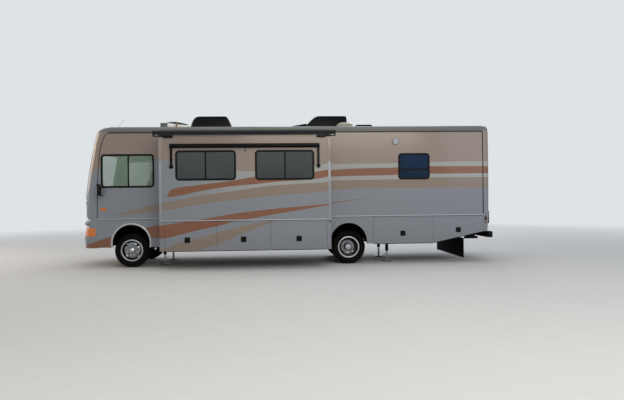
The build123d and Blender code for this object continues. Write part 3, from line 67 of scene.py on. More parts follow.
def hexToLinear(code):
    channels = [int(code[i:i + 2], 16) / 255 for i in (0, 2, 4)]
    return tuple(c / 12.92 if c <= 0.04045 else ((c + 0.055) / 1.055) ** 2.4 for c in channels) + (1.0,)


def fill(node, settings):
    # A key is a property's name, or an input's name or number. A value is plain, a hex colour, or the node or
    # socket to link from
    for key, value in settings.items():
        if isinstance(value, bpy.types.Node):
            value = next(socket for socket in value.outputs if socket.enabled)
        if isinstance(value, bpy.types.NodeSocket):
            node.id_data.links.new(value, node.inputs[key])
        elif isinstance(key, int) or key in node.inputs:
            node.inputs[key].default_value = hexToLinear(value) if isinstance(value, str) else value
        else:
            setattr(node, key, value)
    return node


def addNode(tree, kind, settings):
    return fill(tree.nodes.new(f"ShaderNode{kind}"), settings)


def startMaterial(name, settings):
    # A principled surface with its output, and the place that patterns are drawn on
    material = bpy.data.materials.new(name)
    material.use_nodes = True
    tree = material.node_tree
    tree.nodes.clear()
    surface = addNode(tree, "BsdfPrincipled", settings)
    addNode(tree, "OutputMaterial", {"Surface": surface})
    return material, tree, surface, addNode(tree, "TexCoord", {}).outputs["Object"]


blend = {"data_type": "RGBA"}  # for a Mix node of two colours: input 0 is the share, 6 and 7 are the colours


def mottled(name, dark, light, settings, grain, depth, worn=None, patchSize=333, roughSpread=0.1):
    # Two close tones in patches, with a worn tone in some of them, and a grain that varies the gloss and
    # stands up by the depth. The three sizes are in millimetres
    material, tree, surface, place = startMaterial(name, settings)
    cells = addNode(tree, "TexNoise", {"Scale": 1000 / grain, "Detail": 4, "Roughness": 0.6, "Vector": place})
    broad = addNode(tree, "TexNoise", {"Scale": 1000 / patchSize, "Detail": 3, "Vector": place})
    colour = addNode(tree, "Mix", {**blend, 0: broad, 6: dark, 7: light})
    if worn:
        patch = addNode(tree, "MapRange", {"Value": broad, "From Min": 0.55, "From Max": 0.8})
        colour = addNode(tree, "Mix", {**blend, 0: patch, 6: colour, 7: worn})
    rough = addNode(tree, "Math", {"operation": "MULTIPLY_ADD", 0: cells, 1: roughSpread,
                                   2: settings["Roughness"] - roughSpread / 2})
    raised = addNode(tree, "Bump", {"Strength": 0.6, "Distance": depth / 1000, "Height": cells})
    fill(surface, {"Base Color": colour, "Roughness": rough, "Normal": raised})
    return material


print("helpers ready")

# Full-body paint: sprayed enamel under a clear coat, so broad soft reflections lie over flat stripes, and a
# paler band on the silver is a painted sky reflection
paint = {
    # The light tone is a painted sky reflection: the same silver, painted paler above the tan stripe
    "silver": "747a82", "taupe": "80736a", "light": "8f928f", "copper": "73462b", "tan": "7a6d61",
    "roofCap": "5e605e", "inside": "b9ad99", "roomSide": "8d8b86", "grime": "5a5149", "underside": "131312",
    "coat": 0.5, "coatRoughness": 0.12, "roughness": 0.38,
    "skyReflectionFrom": 1200, "skyReflectionTo": 3100,  # the pale tone fades in between these places
    "copperFrom": 990,  # the upper copper stripe starts here
    "eavesZ": 3259, "railZ": 3259.5,  # where the roof's tone starts, and the top of the dark eaves rail
    "edgeWidth": 4.444,  # the soft edge of a stripe
    "filmTop": 964, "filmFull": 250,  # road film fades in from one height down to the other
    "filmPatch": 770, "streakPatch": 417, "peelSize": 4.5,  # how broad the patterns are
}

# Where the stripes' edges run along the side: (X, height) in millimetres, on a drawing of this size
sideDrawing = {"frontX": -1300, "length": 10300, "height": 4000}
stripeEdges = {
    "taupeLow": [(-1300, 2230), (-700, 2390), (0, 2530), (683, 2622), (919, 2561), (1700, 2405),
                 (2592, 2286), (3026, 2262), (3700, 2312), (4410, 2390), (4900, 2455), (6433, 2471),
                 (7306, 2496), (9000, 2500)],
    "copperTop": [(-1300, 1695), (996, 1695), (1102, 1849), (1769, 1965), (2452, 2046), (3024, 2139),
                  (4408, 2241), (4900, 2316), (6431, 2362), (7305, 2385), (9000, 2380)],
    "copperLow": [(-1300, 1695), (996, 1695), (1768, 1817), (2451, 1922), (3022, 1968), (3500, 2018),
                  (4406, 2076), (4898, 2150), (6430, 2178), (7303, 2202), (9000, 2205)],
    "tanTop": [(-1300, 1240), (-560, 1240), (0, 1380), (684, 1545), (1012, 1580), (1766, 1716),
               (2586, 1822), (3343, 1925), (4000, 1965), (4707, 2010), (4897, 2057), (6428, 2074),
               (7302, 2110), (9000, 2108)],
    "tanLow": [(-1300, 1240), (-560, 1240), (0, 1296), (684, 1345), (1010, 1385), (1764, 1517),
               (2584, 1612), (3340, 1690), (4705, 1800), (4894, 1832), (6426, 1856), (7299, 1862),
               (9000, 1848)],
    "sweepTop": [(-1300, 520), (-898, 611), (-693, 690), (-425, 764), (0, 872), (459, 981), (664, 1029),
                 (855, 1046), (1760, 1172), (2580, 1299), (3498, 1400), (4237, 1458), (4725, 1500),
                 (5566, 1586), (9000, 1586)],
    "sweepLow": [(-1300, 380), (-425, 400), (0, 560), (459, 700), (674, 716), (852, 735), (1757, 936),
                 (2121, 1007), (2578, 1122), (2991, 1192), (3497, 1276), (4237, 1391), (4725, 1472),
                 (5566, 1584), (9000, 1590)],
    "lowTanTop": [(-1300, 300), (960, 520), (1245, 635), (1755, 751), (2119, 850), (2737, 1021),
                  (3334, 1116), (3700, 1170), (9000, 1170)],
    "lowTanLow": [(-1300, 200), (960, 300), (2117, 592), (2735, 835), (3333, 1052), (3700, 1168),
                  (9000, 1172)],
}


def shareAlong(x):
    return (x - sideDrawing["frontX"]) / sideDrawing["length"]


def edgeHeight(tree, along, points):
    # The height of one stripe edge at each place along the side, as a share of the drawing's height
    curve = addNode(tree, "FloatCurve", {"Value": along})
    curve.mapping.extend = "HORIZONTAL"
    line = curve.mapping.curves[0]
    spots = [(shareAlong(x), z / sideDrawing["height"]) for x, z in points]
    line.points[0].location = spots[0]
    line.points[1].location = spots[-1]
    for spot in spots[1:-1]:
        line.points.new(*spot)
    for point in line.points:
        point.handle_type = "AUTO_CLAMPED"
    curve.mapping.update()
    return curve


def coachPaint(name, centre, withX, roofTop=False, inside=paint["inside"]):
    # Faces that look away from the centre are painted, and those that look towards it are wallboard
    material, tree, surface, place = startMaterial(name, {
        "Roughness": 0.6 if roofTop else paint["roughness"],
        "Coat Weight": 0.04 if roofTop else paint["coat"], "Coat Roughness": paint["coatRoughness"],
        "IOR": 1.5, "Specular IOR Level": 0.35})
    normal = place.node.outputs["Normal"]
    spot = addNode(tree, "SeparateXYZ", {0: place}).outputs
    length = sideDrawing["length"] / 1000
    along = addNode(tree, "Math", {"operation": "MULTIPLY_ADD", 0: spot[0], 1: 1 / length,
                                   2: shareAlong(0) - bodyShift.x / length})
    height = addNode(tree, "Math", {"operation": "DIVIDE", 0: spot[2], 1: sideDrawing["height"] / 1000})
    above = {}
    for edge, points in stripeEdges.items():
        gap = addNode(tree, "Math", {"operation": "SUBTRACT", 0: height, 1: edgeHeight(tree, along, points)})
        above[edge] = addNode(tree, "Math", {"operation": "MULTIPLY_ADD", "use_clamp": True, 0: gap,
                                             1: sideDrawing["height"] / paint["edgeWidth"], 2: 0.5})
    colour = addNode(tree, "Mix", {**blend, 0: above["taupeLow"], 6: paint["silver"], 7: paint["taupe"]})
    # A paler band on the silver between the tan stripe and the taupe, fading in aft of the cab: a painted sky
    # reflection
    aft = addNode(tree, "MapRange", {"Value": along, "From Min": shareAlong(paint["skyReflectionFrom"]),
                                     "From Max": shareAlong(paint["skyReflectionTo"])})
    upper = addNode(tree, "Math", {"operation": "SUBTRACT", "use_clamp": True, 0: above["tanTop"],
                                   1: above["taupeLow"]})
    pale = addNode(tree, "Math", {"operation": "MULTIPLY", 0: upper, 1: aft})
    colour = addNode(tree, "Mix", {**blend, 0: pale, 6: colour, 7: paint["light"]})
    for stripe, tone in (("tan", "tan"), ("copper", "copper"), ("sweep", "copper"), ("lowTan", "tan")):
        band = addNode(tree, "Math", {"operation": "SUBTRACT", "use_clamp": True, 0: above[f"{stripe}Low"],
                                      1: above[f"{stripe}Top"]})
        if stripe == "copper":
            copperStart = shareAlong(paint["copperFrom"])
            begun = addNode(tree, "Math", {"operation": "GREATER_THAN", 0: along, 1: copperStart})
            band = addNode(tree, "Math", {"operation": "MULTIPLY", 0: band, 1: begun})
        colour = addNode(tree, "Mix", {**blend, 0: band, 6: colour, 7: paint[tone]})
    cap = addNode(tree, "Math", {"operation": "GREATER_THAN", 0: spot[2], 1: paint["eavesZ"] / 1000})
    colour = addNode(tree, "Mix", {**blend, 0: cap, 6: colour, 7: paint["roofCap"]})
    cloud = addNode(tree, "TexNoise", {"Scale": 1000 / paint["filmPatch"], "Detail": 5, "Roughness": 0.6,
                                      "Vector": place})
    low = addNode(tree, "MapRange", {"Value": spot[2], "From Min": paint["filmTop"] / 1000,
                                     "From Max": paint["filmFull"] / 1000})
    film = addNode(tree, "Math", {"operation": "MULTIPLY", 0: low, 1: cloud})
    dust = addNode(tree, "Math", {"operation": "MULTIPLY", 0: film, 1: 0.5})
    colour = addNode(tree, "Mix", {**blend, 0: dust, 6: colour, 7: paint["grime"]})
    fromCentre = addNode(tree, "VectorMath", {"operation": "SUBTRACT", 0: place, 1: centre})
    reach = addNode(tree, "VectorMath", {"operation": "MULTIPLY", 0: fromCentre, 1: (float(withX), 1, 1)})
    turn = addNode(tree, "VectorMath", {"operation": "DOT_PRODUCT", 0: reach, 1: normal})
    inward = addNode(tree, "Math", {"operation": "LESS_THAN", 0: turn, 1: -0.05})
    colour = addNode(tree, "Mix", {**blend, 0: inward, 6: colour, 7: inside})
    if not withX:
        facing = addNode(tree, "SeparateXYZ", {0: normal}).outputs
        steep = addNode(tree, "Math", {"operation": "ABSOLUTE", 0: facing[0]})
        endFace = addNode(tree, "Math", {"operation": "GREATER_THAN", 0: steep, 1: 0.8})
        colour = addNode(tree, "Mix", {**blend, 0: endFace, 6: colour, 7: paint["roomSide"]})
        if roofTop:
            flat = addNode(tree, "Math", {"operation": "GREATER_THAN", 0: facing[2], 1: 0.995})
            streak = addNode(tree, "TexNoise", {"Scale": 1000 / paint["streakPatch"], "Detail": 6,
                                                "Vector": place})
            skin = addNode(tree, "Mix", {**blend, 0: streak, 6: "b8b4aa", 7: "d2cfc6"})
            colour = addNode(tree, "Mix", {**blend, 0: flat, 6: colour, 7: skin})
            under = addNode(tree, "Math", {"operation": "LESS_THAN", 0: spot[2], 1: paint["railZ"] / 1000})
            outside = addNode(tree, "Math", {"operation": "GREATER_THAN", 0: turn, 1: -0.05})
            rail = addNode(tree, "Math", {"operation": "MULTIPLY", 0: under, 1: outside})
            colour = addNode(tree, "Mix", {**blend, 0: rail, 6: colour, 7: "1c1c1c"})
    # Orange peel of the sprayed clear coat, drawn deep enough to show
    peel = addNode(tree, "TexNoise", {"Scale": 1000 / paint["peelSize"], "Detail": 2, "Vector": place})
    raised = addNode(tree, "Bump", {"Strength": 0.25, "Distance": 0.0006, "Height": peel})
    fill(surface, {"Base Color": colour, "Normal": raised})
    return material


sidePaint = coachPaint("clearCoatedSidePaint", (0, midY, 1.9), False)
nosePaint = coachPaint("clearCoatedNosePaint", (-3.0, midY, 1.9), True)
fasciaPaint = coachPaint("clearCoatedFasciaPaint", (-3.0, midY, 1.9), True, False, paint["underside"])
tailPaint = coachPaint("clearCoatedTailPaint", (3.0, midY, 1.9), True)
roofPaint = coachPaint("roofMembraneAndEdge", (0, midY, 1.9), False, True)

# Under the floor: brushed black enamel, cast iron and zinc plate. Satin, uneven and brown where worn
dull = {"Specular IOR Level": 0.1}
framePaint = mottled("chassisBlackPaint", "0d0d0d", "181716", {"Roughness": 0.6, **dull}, 6, 0.6, "2c241e")
castIron = mottled("castIronBlock", "2a2a2a", "3a3835", {"Roughness": 0.7, "Metallic": 0.6}, 4, 1)
axlePaint = mottled("axleBlackEnamel", "121212", "1d1b1a", {"Roughness": 0.55, **dull}, 8, 0.6, "3a2c20")
zincSteel = mottled("zincPlatedSteel", "4e5052", "66686a", {"Roughness": 0.38, "Metallic": 0.9}, 5, 0.3)

# Inside: sheet vinyl and grained mouldings, matt with a fine tooth, and a glossier printed wood trim
floorBoard = mottled("cabinFloorVinyl", "6a5b4a", "7c6c58", {"Roughness": 0.6}, 20, 0.5)
bayLiner = mottled("grainedGreyLiner", "4c4d4e", "5d5e5f", {"Roughness": 0.7, **dull}, 3, 0.6)
dashPlastic = mottled("grainedDashPlastic", "3b352e", "4a433a", {"Roughness": 0.6, **dull}, 3, 0.5)
lightTrim = mottled("woodgrainDashTrim", "5a3c24", "77512f", {"Roughness": 0.3, "Coat Weight": 0.4}, 30, 0.1)

# Black mouldings and powder coat: the finer the grain, the tighter the soft highlight on them
blackPlastic = mottled("grainedBlackPlastic", "080809", "111112", {"Roughness": 0.5, **dull}, 3, 0.4)
archPlastic = mottled("archLinerPlastic", "050505", "0c0b0b", {"Roughness": 0.9, "Specular IOR Level": 0.08},
                      9, 1.2, "17130f")
powderBlack = mottled("powderCoatedBlack", "050506", "0b0b0c", {"Roughness": 0.36, **dull}, 2, 0.2)
shroudPlastic = mottled("texturedShroudPlastic", "07080a", "0d0f13",
                        {"Roughness": 0.4, "Specular IOR Level": 0.14}, 7, 0.5)
lidPlastic = mottled("weatheredBlackLid", "040405", "090a0b", {"Roughness": 0.9, "Specular IOR Level": 0.05},
                     6, 0.4)

# Roof mouldings left in the sun: chalky and faded, with darker patches where rain stands
paleFitting = mottled("agedWhiteMoulding", "bcbcb8", "d8d8d4", {"Roughness": 0.45}, 10, 0.3, "a5a29a")
greyFitting = mottled("weatheredGreyMoulding", "4d5358", "5e6569", {"Roughness": 0.55}, 8, 0.4, "464a4c")
agedDome = mottled("agedGreyBeigeDome", "7c796f", "98958a", {"Roughness": 0.5}, 12, 0.5, "6a675f")
wingPlastic = mottled("oliveGreyWing", "4a4b45", "5c5d55", {"Roughness": 0.5, **dull}, 8, 0.3)
brownPlastic = mottled("sunFadedBrownPost", "6b4a2c", "7d5835", {"Roughness": 0.6}, 6, 0.3)

# Extruded trim, anodised or sprayed: nearly even, with a narrow sheen along its length
beltTrim = mottled("anodisedTrimExtrusion", "8d9199", "a0a4ac", {"Roughness": 0.36, "Metallic": 0.35},
                   30, 0.1)
sprayed = {"Roughness": 0.42, "Coat Weight": 0.3}
cornerTrim = mottled("sprayedCornerExtrusion", "867b71", "91867b", sprayed, 40, 0.1)
cornerSilver = mottled("silverCornerExtrusion", "7d838b", "888e96", sprayed, 40, 0.1)
lipTrim = mottled("brightArchLip", "9a9ea4", "afb3b8", {"Roughness": 0.32, "Metallic": 0.5}, 30, 0.1,
                  "7d7f81")
brightTrim = mottled("brushedAluminiumTrim", "85868a", "9fa0a4", {"Roughness": 0.3, "Metallic": 1.0}, 3, 0.1)

# Wheels and plated parts: polished metal that mirrors the ground, grey where brake dust lies
polished = mottled("polishedWheelAluminium", "6f7175", "8f9195", {"Roughness": 0.22, "Metallic": 1.0},
                   30, 0.2, "55575a", 167, 0.08)
# On the wheels this dark tone is painted shade in the rims' hollows; its brown patches are brake dust
wheelBarrel = mottled("brakeDustAndShadeDarkRim", "26272a", "37383b", {"Roughness": 0.5, "Metallic": 0.9}, 8, 0.3,
                      "1d1a18", 111)
chrome = mottled("chromePlate", "a9abaf", "c6c8cb", {"Roughness": 0.08, "Metallic": 1.0}, 40, 0.1,
                 roughSpread=0.03)
mirrorFace = mottled("silveredMirrorGlass", "b9c0c4", "c3cacd", {"Roughness": 0.02, "Metallic": 1.0},
                     90, 0.01, roughSpread=0.005)

# Moulded rubber: very dark and matt, with brown dust in the tread
rubber = mottled("tyreRubber", "0a0a0a", "121111", {"Roughness": 0.82, "Specular IOR Level": 0.06}, 5, 0.6,
                 "171411", 143)
sealRubber = mottled("rubberSeal", "070707", "0e0e0e", {"Roughness": 0.7, **dull}, 2, 0.3)


def seatLeather():
    # Tan leather: pebbled grain, drawn 3 mm across so that it shows, softly shiny, and darker in the creases
    # between the pebbles, which is painted shade
    material, tree, surface, place = startMaterial("pebbledTanLeather", {
        "Roughness": 0.5, "Specular IOR Level": 0.35, "Sheen Weight": 0.1})
    pebble = addNode(tree, "TexVoronoi", {"feature": "SMOOTH_F1", "Scale": 1000 / 3, "Vector": place})
    broad = addNode(tree, "TexNoise", {"Scale": 1000 / 167, "Detail": 4, "Vector": place})
    hide = addNode(tree, "Mix", {**blend, 0: broad, 6: "7d6850", 7: "9a836a"})
    creaseShade = addNode(tree, "Math", {"operation": "MULTIPLY", "use_clamp": True, 0: pebble, 1: 0.5})
    colour = addNode(tree, "Mix", {**blend, 0: creaseShade, 6: hide, 7: "4f4030"})
    raised = addNode(tree, "Bump", {"Strength": 0.4, "Distance": 0.0008, "Height": pebble})
    fill(surface, {"Base Color": colour, "Normal": raised})
    return material


def awningCloth():
    # Woven coated cloth: black and matt, with threads 2 mm apart drawn coarse enough to show
    material, tree, surface, place = startMaterial("wovenAwningCloth", {
        "Roughness": 0.85, "Specular IOR Level": 0.2, "Sheen Weight": 0.15})
    spot = addNode(tree, "SeparateXYZ", {0: place})
    threads = []
    for axis in (0, 1):
        turns = addNode(tree, "Math", {"operation": "MULTIPLY", 0: spot.outputs[axis],
                                       1: math.tau * 1000 / 4})
        threads.append(addNode(tree, "Math", {"operation": "SINE", 0: turns}))
    weave = addNode(tree, "Math", {"operation": "MULTIPLY", 0: threads[0], 1: threads[1]})
    fade = addNode(tree, "TexNoise", {"Scale": 1000 / 455, "Detail": 5, "Vector": place})
    colour = addNode(tree, "Mix", {**blend, 0: fade, 6: "101113", 7: "24262a"})
    raised = addNode(tree, "Bump", {"Strength": 0.5, "Distance": 0.0006, "Height": weave})
    fill(surface, {"Base Color": colour, "Normal": raised})
    return material


# Each pane's colour lightens towards its top: a painted sky reflection
glassSkyReflection = {"sillZ": 2069, "headZ": 2759}  # a pane's tone lightens between these heights


def tintedGlass(name, low, high, alpha, settings=None):
    # Float glass with a body tint: clear reflections over a tone that lightens with height, the lighter top
    # being a painted sky reflection
    material, tree, surface, place = startMaterial(name, {
        "Roughness": 0.03, "IOR": 1.5, "Alpha": alpha, "Coat Weight": 0.3, "Coat Roughness": 0.01,
        **(settings or {})})
    haze = addNode(tree, "TexNoise", {"Scale": 1000 / 625, "Detail": 2, "Vector": place})
    z = addNode(tree, "SeparateXYZ", {0: place}).outputs[2]
    rise = addNode(tree, "MapRange", {"Value": z, "From Min": glassSkyReflection["sillZ"] / 1000,
                                      "From Max": glassSkyReflection["headZ"] / 1000})
    uneven = addNode(tree, "Math", {"operation": "ADD", 0: rise, 1: haze})
    share = addNode(tree, "Math", {"operation": "MULTIPLY", "use_clamp": True, 0: uneven, 1: 0.62})
    fill(surface, {"Base Color": addNode(tree, "Mix", {**blend, 0: share, 6: low, 7: high})})
    return material


def mouldedLens(name, dark, light, alpha, pitch, axis=2):
    # Moulded acrylic: glossy and coloured, with flutes that break up the light; the pitch is in millimetres
    material, tree, surface, place = startMaterial(name, {
        "Roughness": 0.08, "IOR": 1.49, "Alpha": alpha, "Coat Weight": 0.5, "Coat Roughness": 0.02})
    spot = addNode(tree, "SeparateXYZ", {0: place})
    turns = addNode(tree, "Math", {"operation": "MULTIPLY", 0: spot.outputs[axis],
                                   1: math.tau * 1000 / pitch})
    flute = addNode(tree, "Math", {"operation": "SINE", 0: turns})
    share = addNode(tree, "Math", {"operation": "MULTIPLY_ADD", 0: flute, 1: 0.5, 2: 0.5})
    colour = addNode(tree, "Mix", {**blend, 0: share, 6: dark, 7: light})
    raised = addNode(tree, "Bump", {"Strength": 0.35, "Distance": 0.0012, "Height": flute})
    fill(surface, {"Base Color": colour, "Normal": raised})
    return material


leather = seatLeather()
cloth = awningCloth()
privacyGlass = tintedGlass("privacyTintedGlass", "161c1c", "3a4545", 0.88)
# The rear panes' blue is a painted sky reflection over dark glass
rearGlass = tintedGlass("blueGlassPaintedSkyReflection", "03121f", "0b2c4c", 0.95,
                        {"Specular IOR Level": 0.2, "Coat Weight": 0.05})
clearGlass = tintedGlass("lightGreenGlass", "6f8f7c", "86a08f", 0.42)
screenGlass = tintedGlass("laminatedScreenGlass", "2f3b36", "3b4842", 0.2)
clearLens = mouldedLens("flutedClearLens", "aab2b6", "d8dde0", 0.13, 16, 1)
amberLens = mouldedLens("flutedAmberLens", "b4540c", "e0801c", 0.92, 13)
redLens = mouldedLens("flutedRedLens", "5c0a0a", "8f1512", 0.94, 13)
smokedLens = mouldedLens("smokedRedLens", "1d0807", "340f0d", 0.96, 13)
agedLens = mouldedLens("agedAmberLens", "8a5230", "a36c42", 0.96, 13)
print("materials ready")

# What each CAD node is finished in
cadFinishes = (
    (framePaint, "chassis_frame fuel_tank levelling_jacks rear_bumper"),
    (castIron, "engine_block"),
    (axlePaint, "front_axle rear_axle left_knuckle right_knuckle"),
    (blackPlastic, "entry_step grille mirrors_and_wipers"),
    (floorBoard, "floor"),
    (bayLiner, "storage_bays"),
    (sidePaint, "left_wall right_wall skirts room_shell entry_door room_door_1 room_door_2 room_door_3 "
                "right_door_1 right_door_2 right_door_3 rear_left_door_1 rear_left_door_2"),
    (roofPaint, "roof"),
    (nosePaint, "front_cap"),
    (fasciaPaint, "front_fascia"),
    (tailPaint, "rear_cap"),
    (screenGlass, "windscreen"),
    (privacyGlass, "side_glass room_glass entry_glass"),
    (clearLens, "front_lamps"),
    (redLens, "tail_lamps"),
    (archPlastic, "splash_guards"),
    (powderBlack, "window_frames room_window_frames room_awnings patio_awning"),
    (shroudPlastic, "air_conditioners"),
    (paleFitting, "roof_fittings"),
    (brightTrim, "ladder"),
    (dashPlastic, "cab_interior"),
    (cloth, "topper_fabric"),
    (polished, "front_left_wheel front_right_wheel rear_left_wheels rear_right_wheels"),
    (rubber, "front_left_tyre front_right_tyre rear_left_tyres rear_right_tyres"),
)
for material, names in cadFinishes:
    for name in names.split():
        nodes[name].data.materials.clear()
        nodes[name].data.materials.append(material)
print("CAD nodes finished")


def finishPiece(name, mesh, finishes, body, replaced=()):
    piece = bpy.data.objects.new(name, mesh)
    scene.collection.objects.link(piece)
    for material in finishes:
        mesh.materials.append(material)
    if replaced:
        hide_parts(*replaced)
    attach(piece, body)
    return piece


def smoothBySharpness(bm, angle):
    for face in bm.faces:
        face.smooth = True
    for edge in bm.edges:
        edge.smooth = len(edge.link_faces) == 2 and edge.calc_face_angle(0) < math.radians(angle)


def addPiece(name, bm, finishes, body, angle=35, replaced=()):
    # Faces turned outwards, and smooth wherever they meet below the angle
    bmesh.ops.recalc_face_normals(bm, faces=bm.faces)
    smoothBySharpness(bm, angle)
    mesh = bpy.data.meshes.new(name)
    bm.to_mesh(mesh)
    bm.free()
    return finishPiece(name, mesh, finishes, body, replaced)


def dressedCopy(node, name, body, finishes, choose=None, angle=32, bevel=0.0, drop=None):
    # A merged copy of a CAD node with smooth shading, and a finish picked by where each face lies
    mesh = nodes[node].data.copy()
    if "custom_normal" in mesh.attributes:
        mesh.attributes.remove(mesh.attributes["custom_normal"])
    mesh.materials.clear()
    bm = bmesh.new()
    bm.from_mesh(mesh)
    bmesh.ops.remove_doubles(bm, verts=bm.verts, dist=0.00003)
    bmesh.ops.dissolve_degenerate(bm, edges=bm.edges, dist=0.00002)
    if drop:
        bmesh.ops.delete(bm, geom=[vert for vert in bm.verts if drop(vert.co)], context="VERTS")
    smoothBySharpness(bm, angle)
    for face in bm.faces:
        face.material_index = int(choose(face.calc_center_median(), face.normal)) if choose else 0
    bm.to_mesh(mesh)
    bm.free()
    piece = finishPiece(name, mesh, finishes, body, (node,))
    if bevel:
        edgeRound = piece.modifiers.new("edgeRound", "BEVEL")
        edgeRound.width = bevel
        edgeRound.segments = 2
        edgeRound.limit_method = "ANGLE"
        edgeRound.angle_limit = math.radians(40)
        edgeRound.harden_normals = True
    return piece


def bevelled(bm, edges, radius, segments):
    bmesh.ops.bevel(bm, geom=edges, offset=radius, segments=segments, profile=0.5, affect="EDGES",
                    material=-1)


def edgesOf(verts):
    # The edges that touch these verts, each once and in the same order in every run
    return list(dict.fromkeys(edge for vert in verts for edge in vert.link_edges))


def roundedBlock(bm, low, high, radius, segments=3):
    # A block between two opposite corners with all its edges rounded
    low, high = (Vector(tuple(map(pick, low, high))) for pick in (min, max))
    before = set(bm.verts)
    cube = bmesh.ops.create_cube(bm, size=1)["verts"]
    bmesh.ops.scale(bm, vec=high - low, verts=cube)
    bmesh.ops.translate(bm, vec=(high + low) / 2, verts=cube)
    if radius:
        bevelled(bm, edgesOf(cube), radius, segments)
    return [vert for vert in bm.verts if vert not in before]


def turned(bm, section, centre, axis, steps, first=None):
    # A section of (radius, distance along the axis) spun once round the axis through the centre. Open ends
    # are closed on the axis, or back to the start where both ends are clear of it
    if section[0][0] and section[-1][0]:
        section = section + section[:1]
    elif section[-1][0]:
        section = section + [(0.0, section[-1][1])]
    elif section[0][0]:
        section = [(0.0, section[0][1])] + section
    axis = Vector(axis).normalized()
    out = Vector(first) if first else axis.orthogonal().normalized()
    before = set(bm.verts)
    verts = [bm.verts.new(Vector(centre) + out * r + axis * d) for r, d in section]
    edges = [bm.edges.new((a, b)) for a, b in zip(verts, verts[1:])]
    bmesh.ops.spin(bm, geom=verts + edges, cent=Vector(centre), axis=axis, angle=math.tau, steps=steps,
                   use_merge=True)
    bmesh.ops.remove_doubles(bm, verts=[vert for vert in bm.verts if vert not in before], dist=0.00002)


def bridgedRings(bm, places, radius, sides, closed=False):
    # Circles set at the given places and joined in turn, either back to the first or with both ends capped
    rings = [bmesh.ops.create_circle(bm, cap_ends=False, segments=sides, radius=radius, matrix=place)["verts"]
             for place in places]
    for one, two in zip(rings, rings[1:] + rings[:1] if closed else rings[1:]):
        edges = [edge for ring in (one, two) for edge in edgesOf(ring) if set(edge.verts) <= set(ring)]
        bmesh.ops.bridge_loops(bm, edges=edges)
    if not closed:
        bmesh.ops.contextual_create(bm, geom=rings[0])
        bmesh.ops.contextual_create(bm, geom=rings[-1])


def squareTo(way, point):
    # A place at a point with its Z along the given way
    return Matrix.Translation(point) @ way.to_track_quat("Z", "Y").to_matrix().to_4x4()


def tubeAlong(bm, points, radius, sides=10):
    # A round bar along a line of points, with closed ends
    lines = zip(points[:1] + points[:-1], points, points[1:] + points[-1:])
    bridgedRings(bm, [squareTo(after - before, point) for before, point, after in lines], radius, sides)


def tubeLoop(bm, points, radius, sides=8):
    # A round bar along a closed line of points
    lines = zip(points[-1:] + points[:-1], points, points[1:] + points[:1])
    bridgedRings(bm, [squareTo(after - before, point) for before, point, after in lines], radius, sides, True)


def roundedPath(frontX, rearX, lowZ, highZ, y, radius, steps=5):
    # Points round a rectangle with rounded corners on a side wall, in the drawing's millimetres
    points = []
    corners = ((rearX - radius, highZ - radius), (frontX + radius, highZ - radius),
               (frontX + radius, lowZ + radius), (rearX - radius, lowZ + radius))
    for quarter, (cornerX, cornerZ) in enumerate(corners):
        for step in range(steps + 1):
            turn = math.radians(90 * (quarter + step / steps))
            points.append(at(cornerX + radius * math.cos(turn), y, cornerZ + radius * math.sin(turn)))
    return points


# Road tyres: ribbed tread with cross cuts, rounded shoulders and ringed sidewalls
tyre = {
    "outerRadius": 0.410, "beadRadius": 0.2495, "halfWidth": 0.1225, "grooveDepth": 0.010, "cutDepth": 0.007,
    "steps": 132,  # round the tread
}


def tyreSection():
    outer, bead, half = tyre["outerRadius"], tyre["beadRadius"], tyre["halfWidth"]
    side = [
        (bead, 0.090), (bead + 0.018, 0.097), (bead + 0.030, 0.1035), (bead + 0.040, 0.109),
        (bead + 0.046, 0.1125), (bead + 0.050, 0.1125), (bead + 0.060, 0.1165), (bead + 0.080, 0.1215),
        (bead + 0.098, half),
        (bead + 0.104, half - 0.001), (bead + 0.108, half - 0.001), (bead + 0.122, half - 0.003),
        (bead + 0.132, half - 0.007), (outer - 0.018, half - 0.015), (outer - 0.009, half - 0.021),
        (outer - 0.003, half - 0.030), (outer - 0.001, 0.084),
    ]
    tread = []
    for middle in (0.066, 0.024):
        bottom = outer - tyre["grooveDepth"]
        tread += [(outer, middle + 0.008), (bottom, middle + 0.005), (bottom, middle - 0.005),
                  (outer, middle - 0.008)]
    halfSection = side + tread
    return halfSection + [(r, -d) for r, d in reversed(halfSection)]


def addTyre(bm, centre):
    before = set(bm.faces)
    turned(bm, tyreSection(), centre, (0, 1, 0), tyre["steps"], (0, 0, 1))
    fresh = [face for face in bm.faces if face not in before]
    cuts = []
    for face in fresh:
        spot = face.calc_center_median() - Vector(centre)
        radius = math.hypot(spot.x, spot.z)
        turn = int((math.atan2(spot.x, spot.z) % math.tau) / math.tau * tyre["steps"])
        rib = abs(spot.y)
        if radius > tyre["outerRadius"] - 0.012 and (0.03 < rib < 0.06 or rib > 0.075):
            if (turn + (2 if rib > 0.075 else 0)) % 4 == 0:
                cuts.append(face)
        elif radius > tyre["outerRadius"] - 0.004 and rib < 0.016 and turn % 4 == 1:
            cuts.append(face)
    bmesh.ops.inset_individual(bm, faces=cuts, thickness=0.0012, depth=-tyre["cutDepth"])
    return fresh


wheelPlaces = {  # X, Y of the outer tyre's middle, and how far towards +Y each tyre stands from there
    "front_left": (0, -1015, (0,)), "front_right": (0, 1015, (0,)),
    "rear_left": (5283, -1022, (0, 290)), "rear_right": (5283, 1022, (0, -290)),
}
for corner, (x, y, insets) in wheelPlaces.items():
    node = f"{corner}_tyre" if corner.startswith("front") else f"{corner}_tyres"
    body = f"{corner}_wheel" if corner.startswith("front") else f"{corner}_wheels"
    bm = bmesh.new()
    for inset in insets:
        addTyre(bm, at(x, y + inset, 410))
    addPiece(f"{corner}_treadTyres", bm, [rubber], body, 28, (node,))
print("tyres ready")

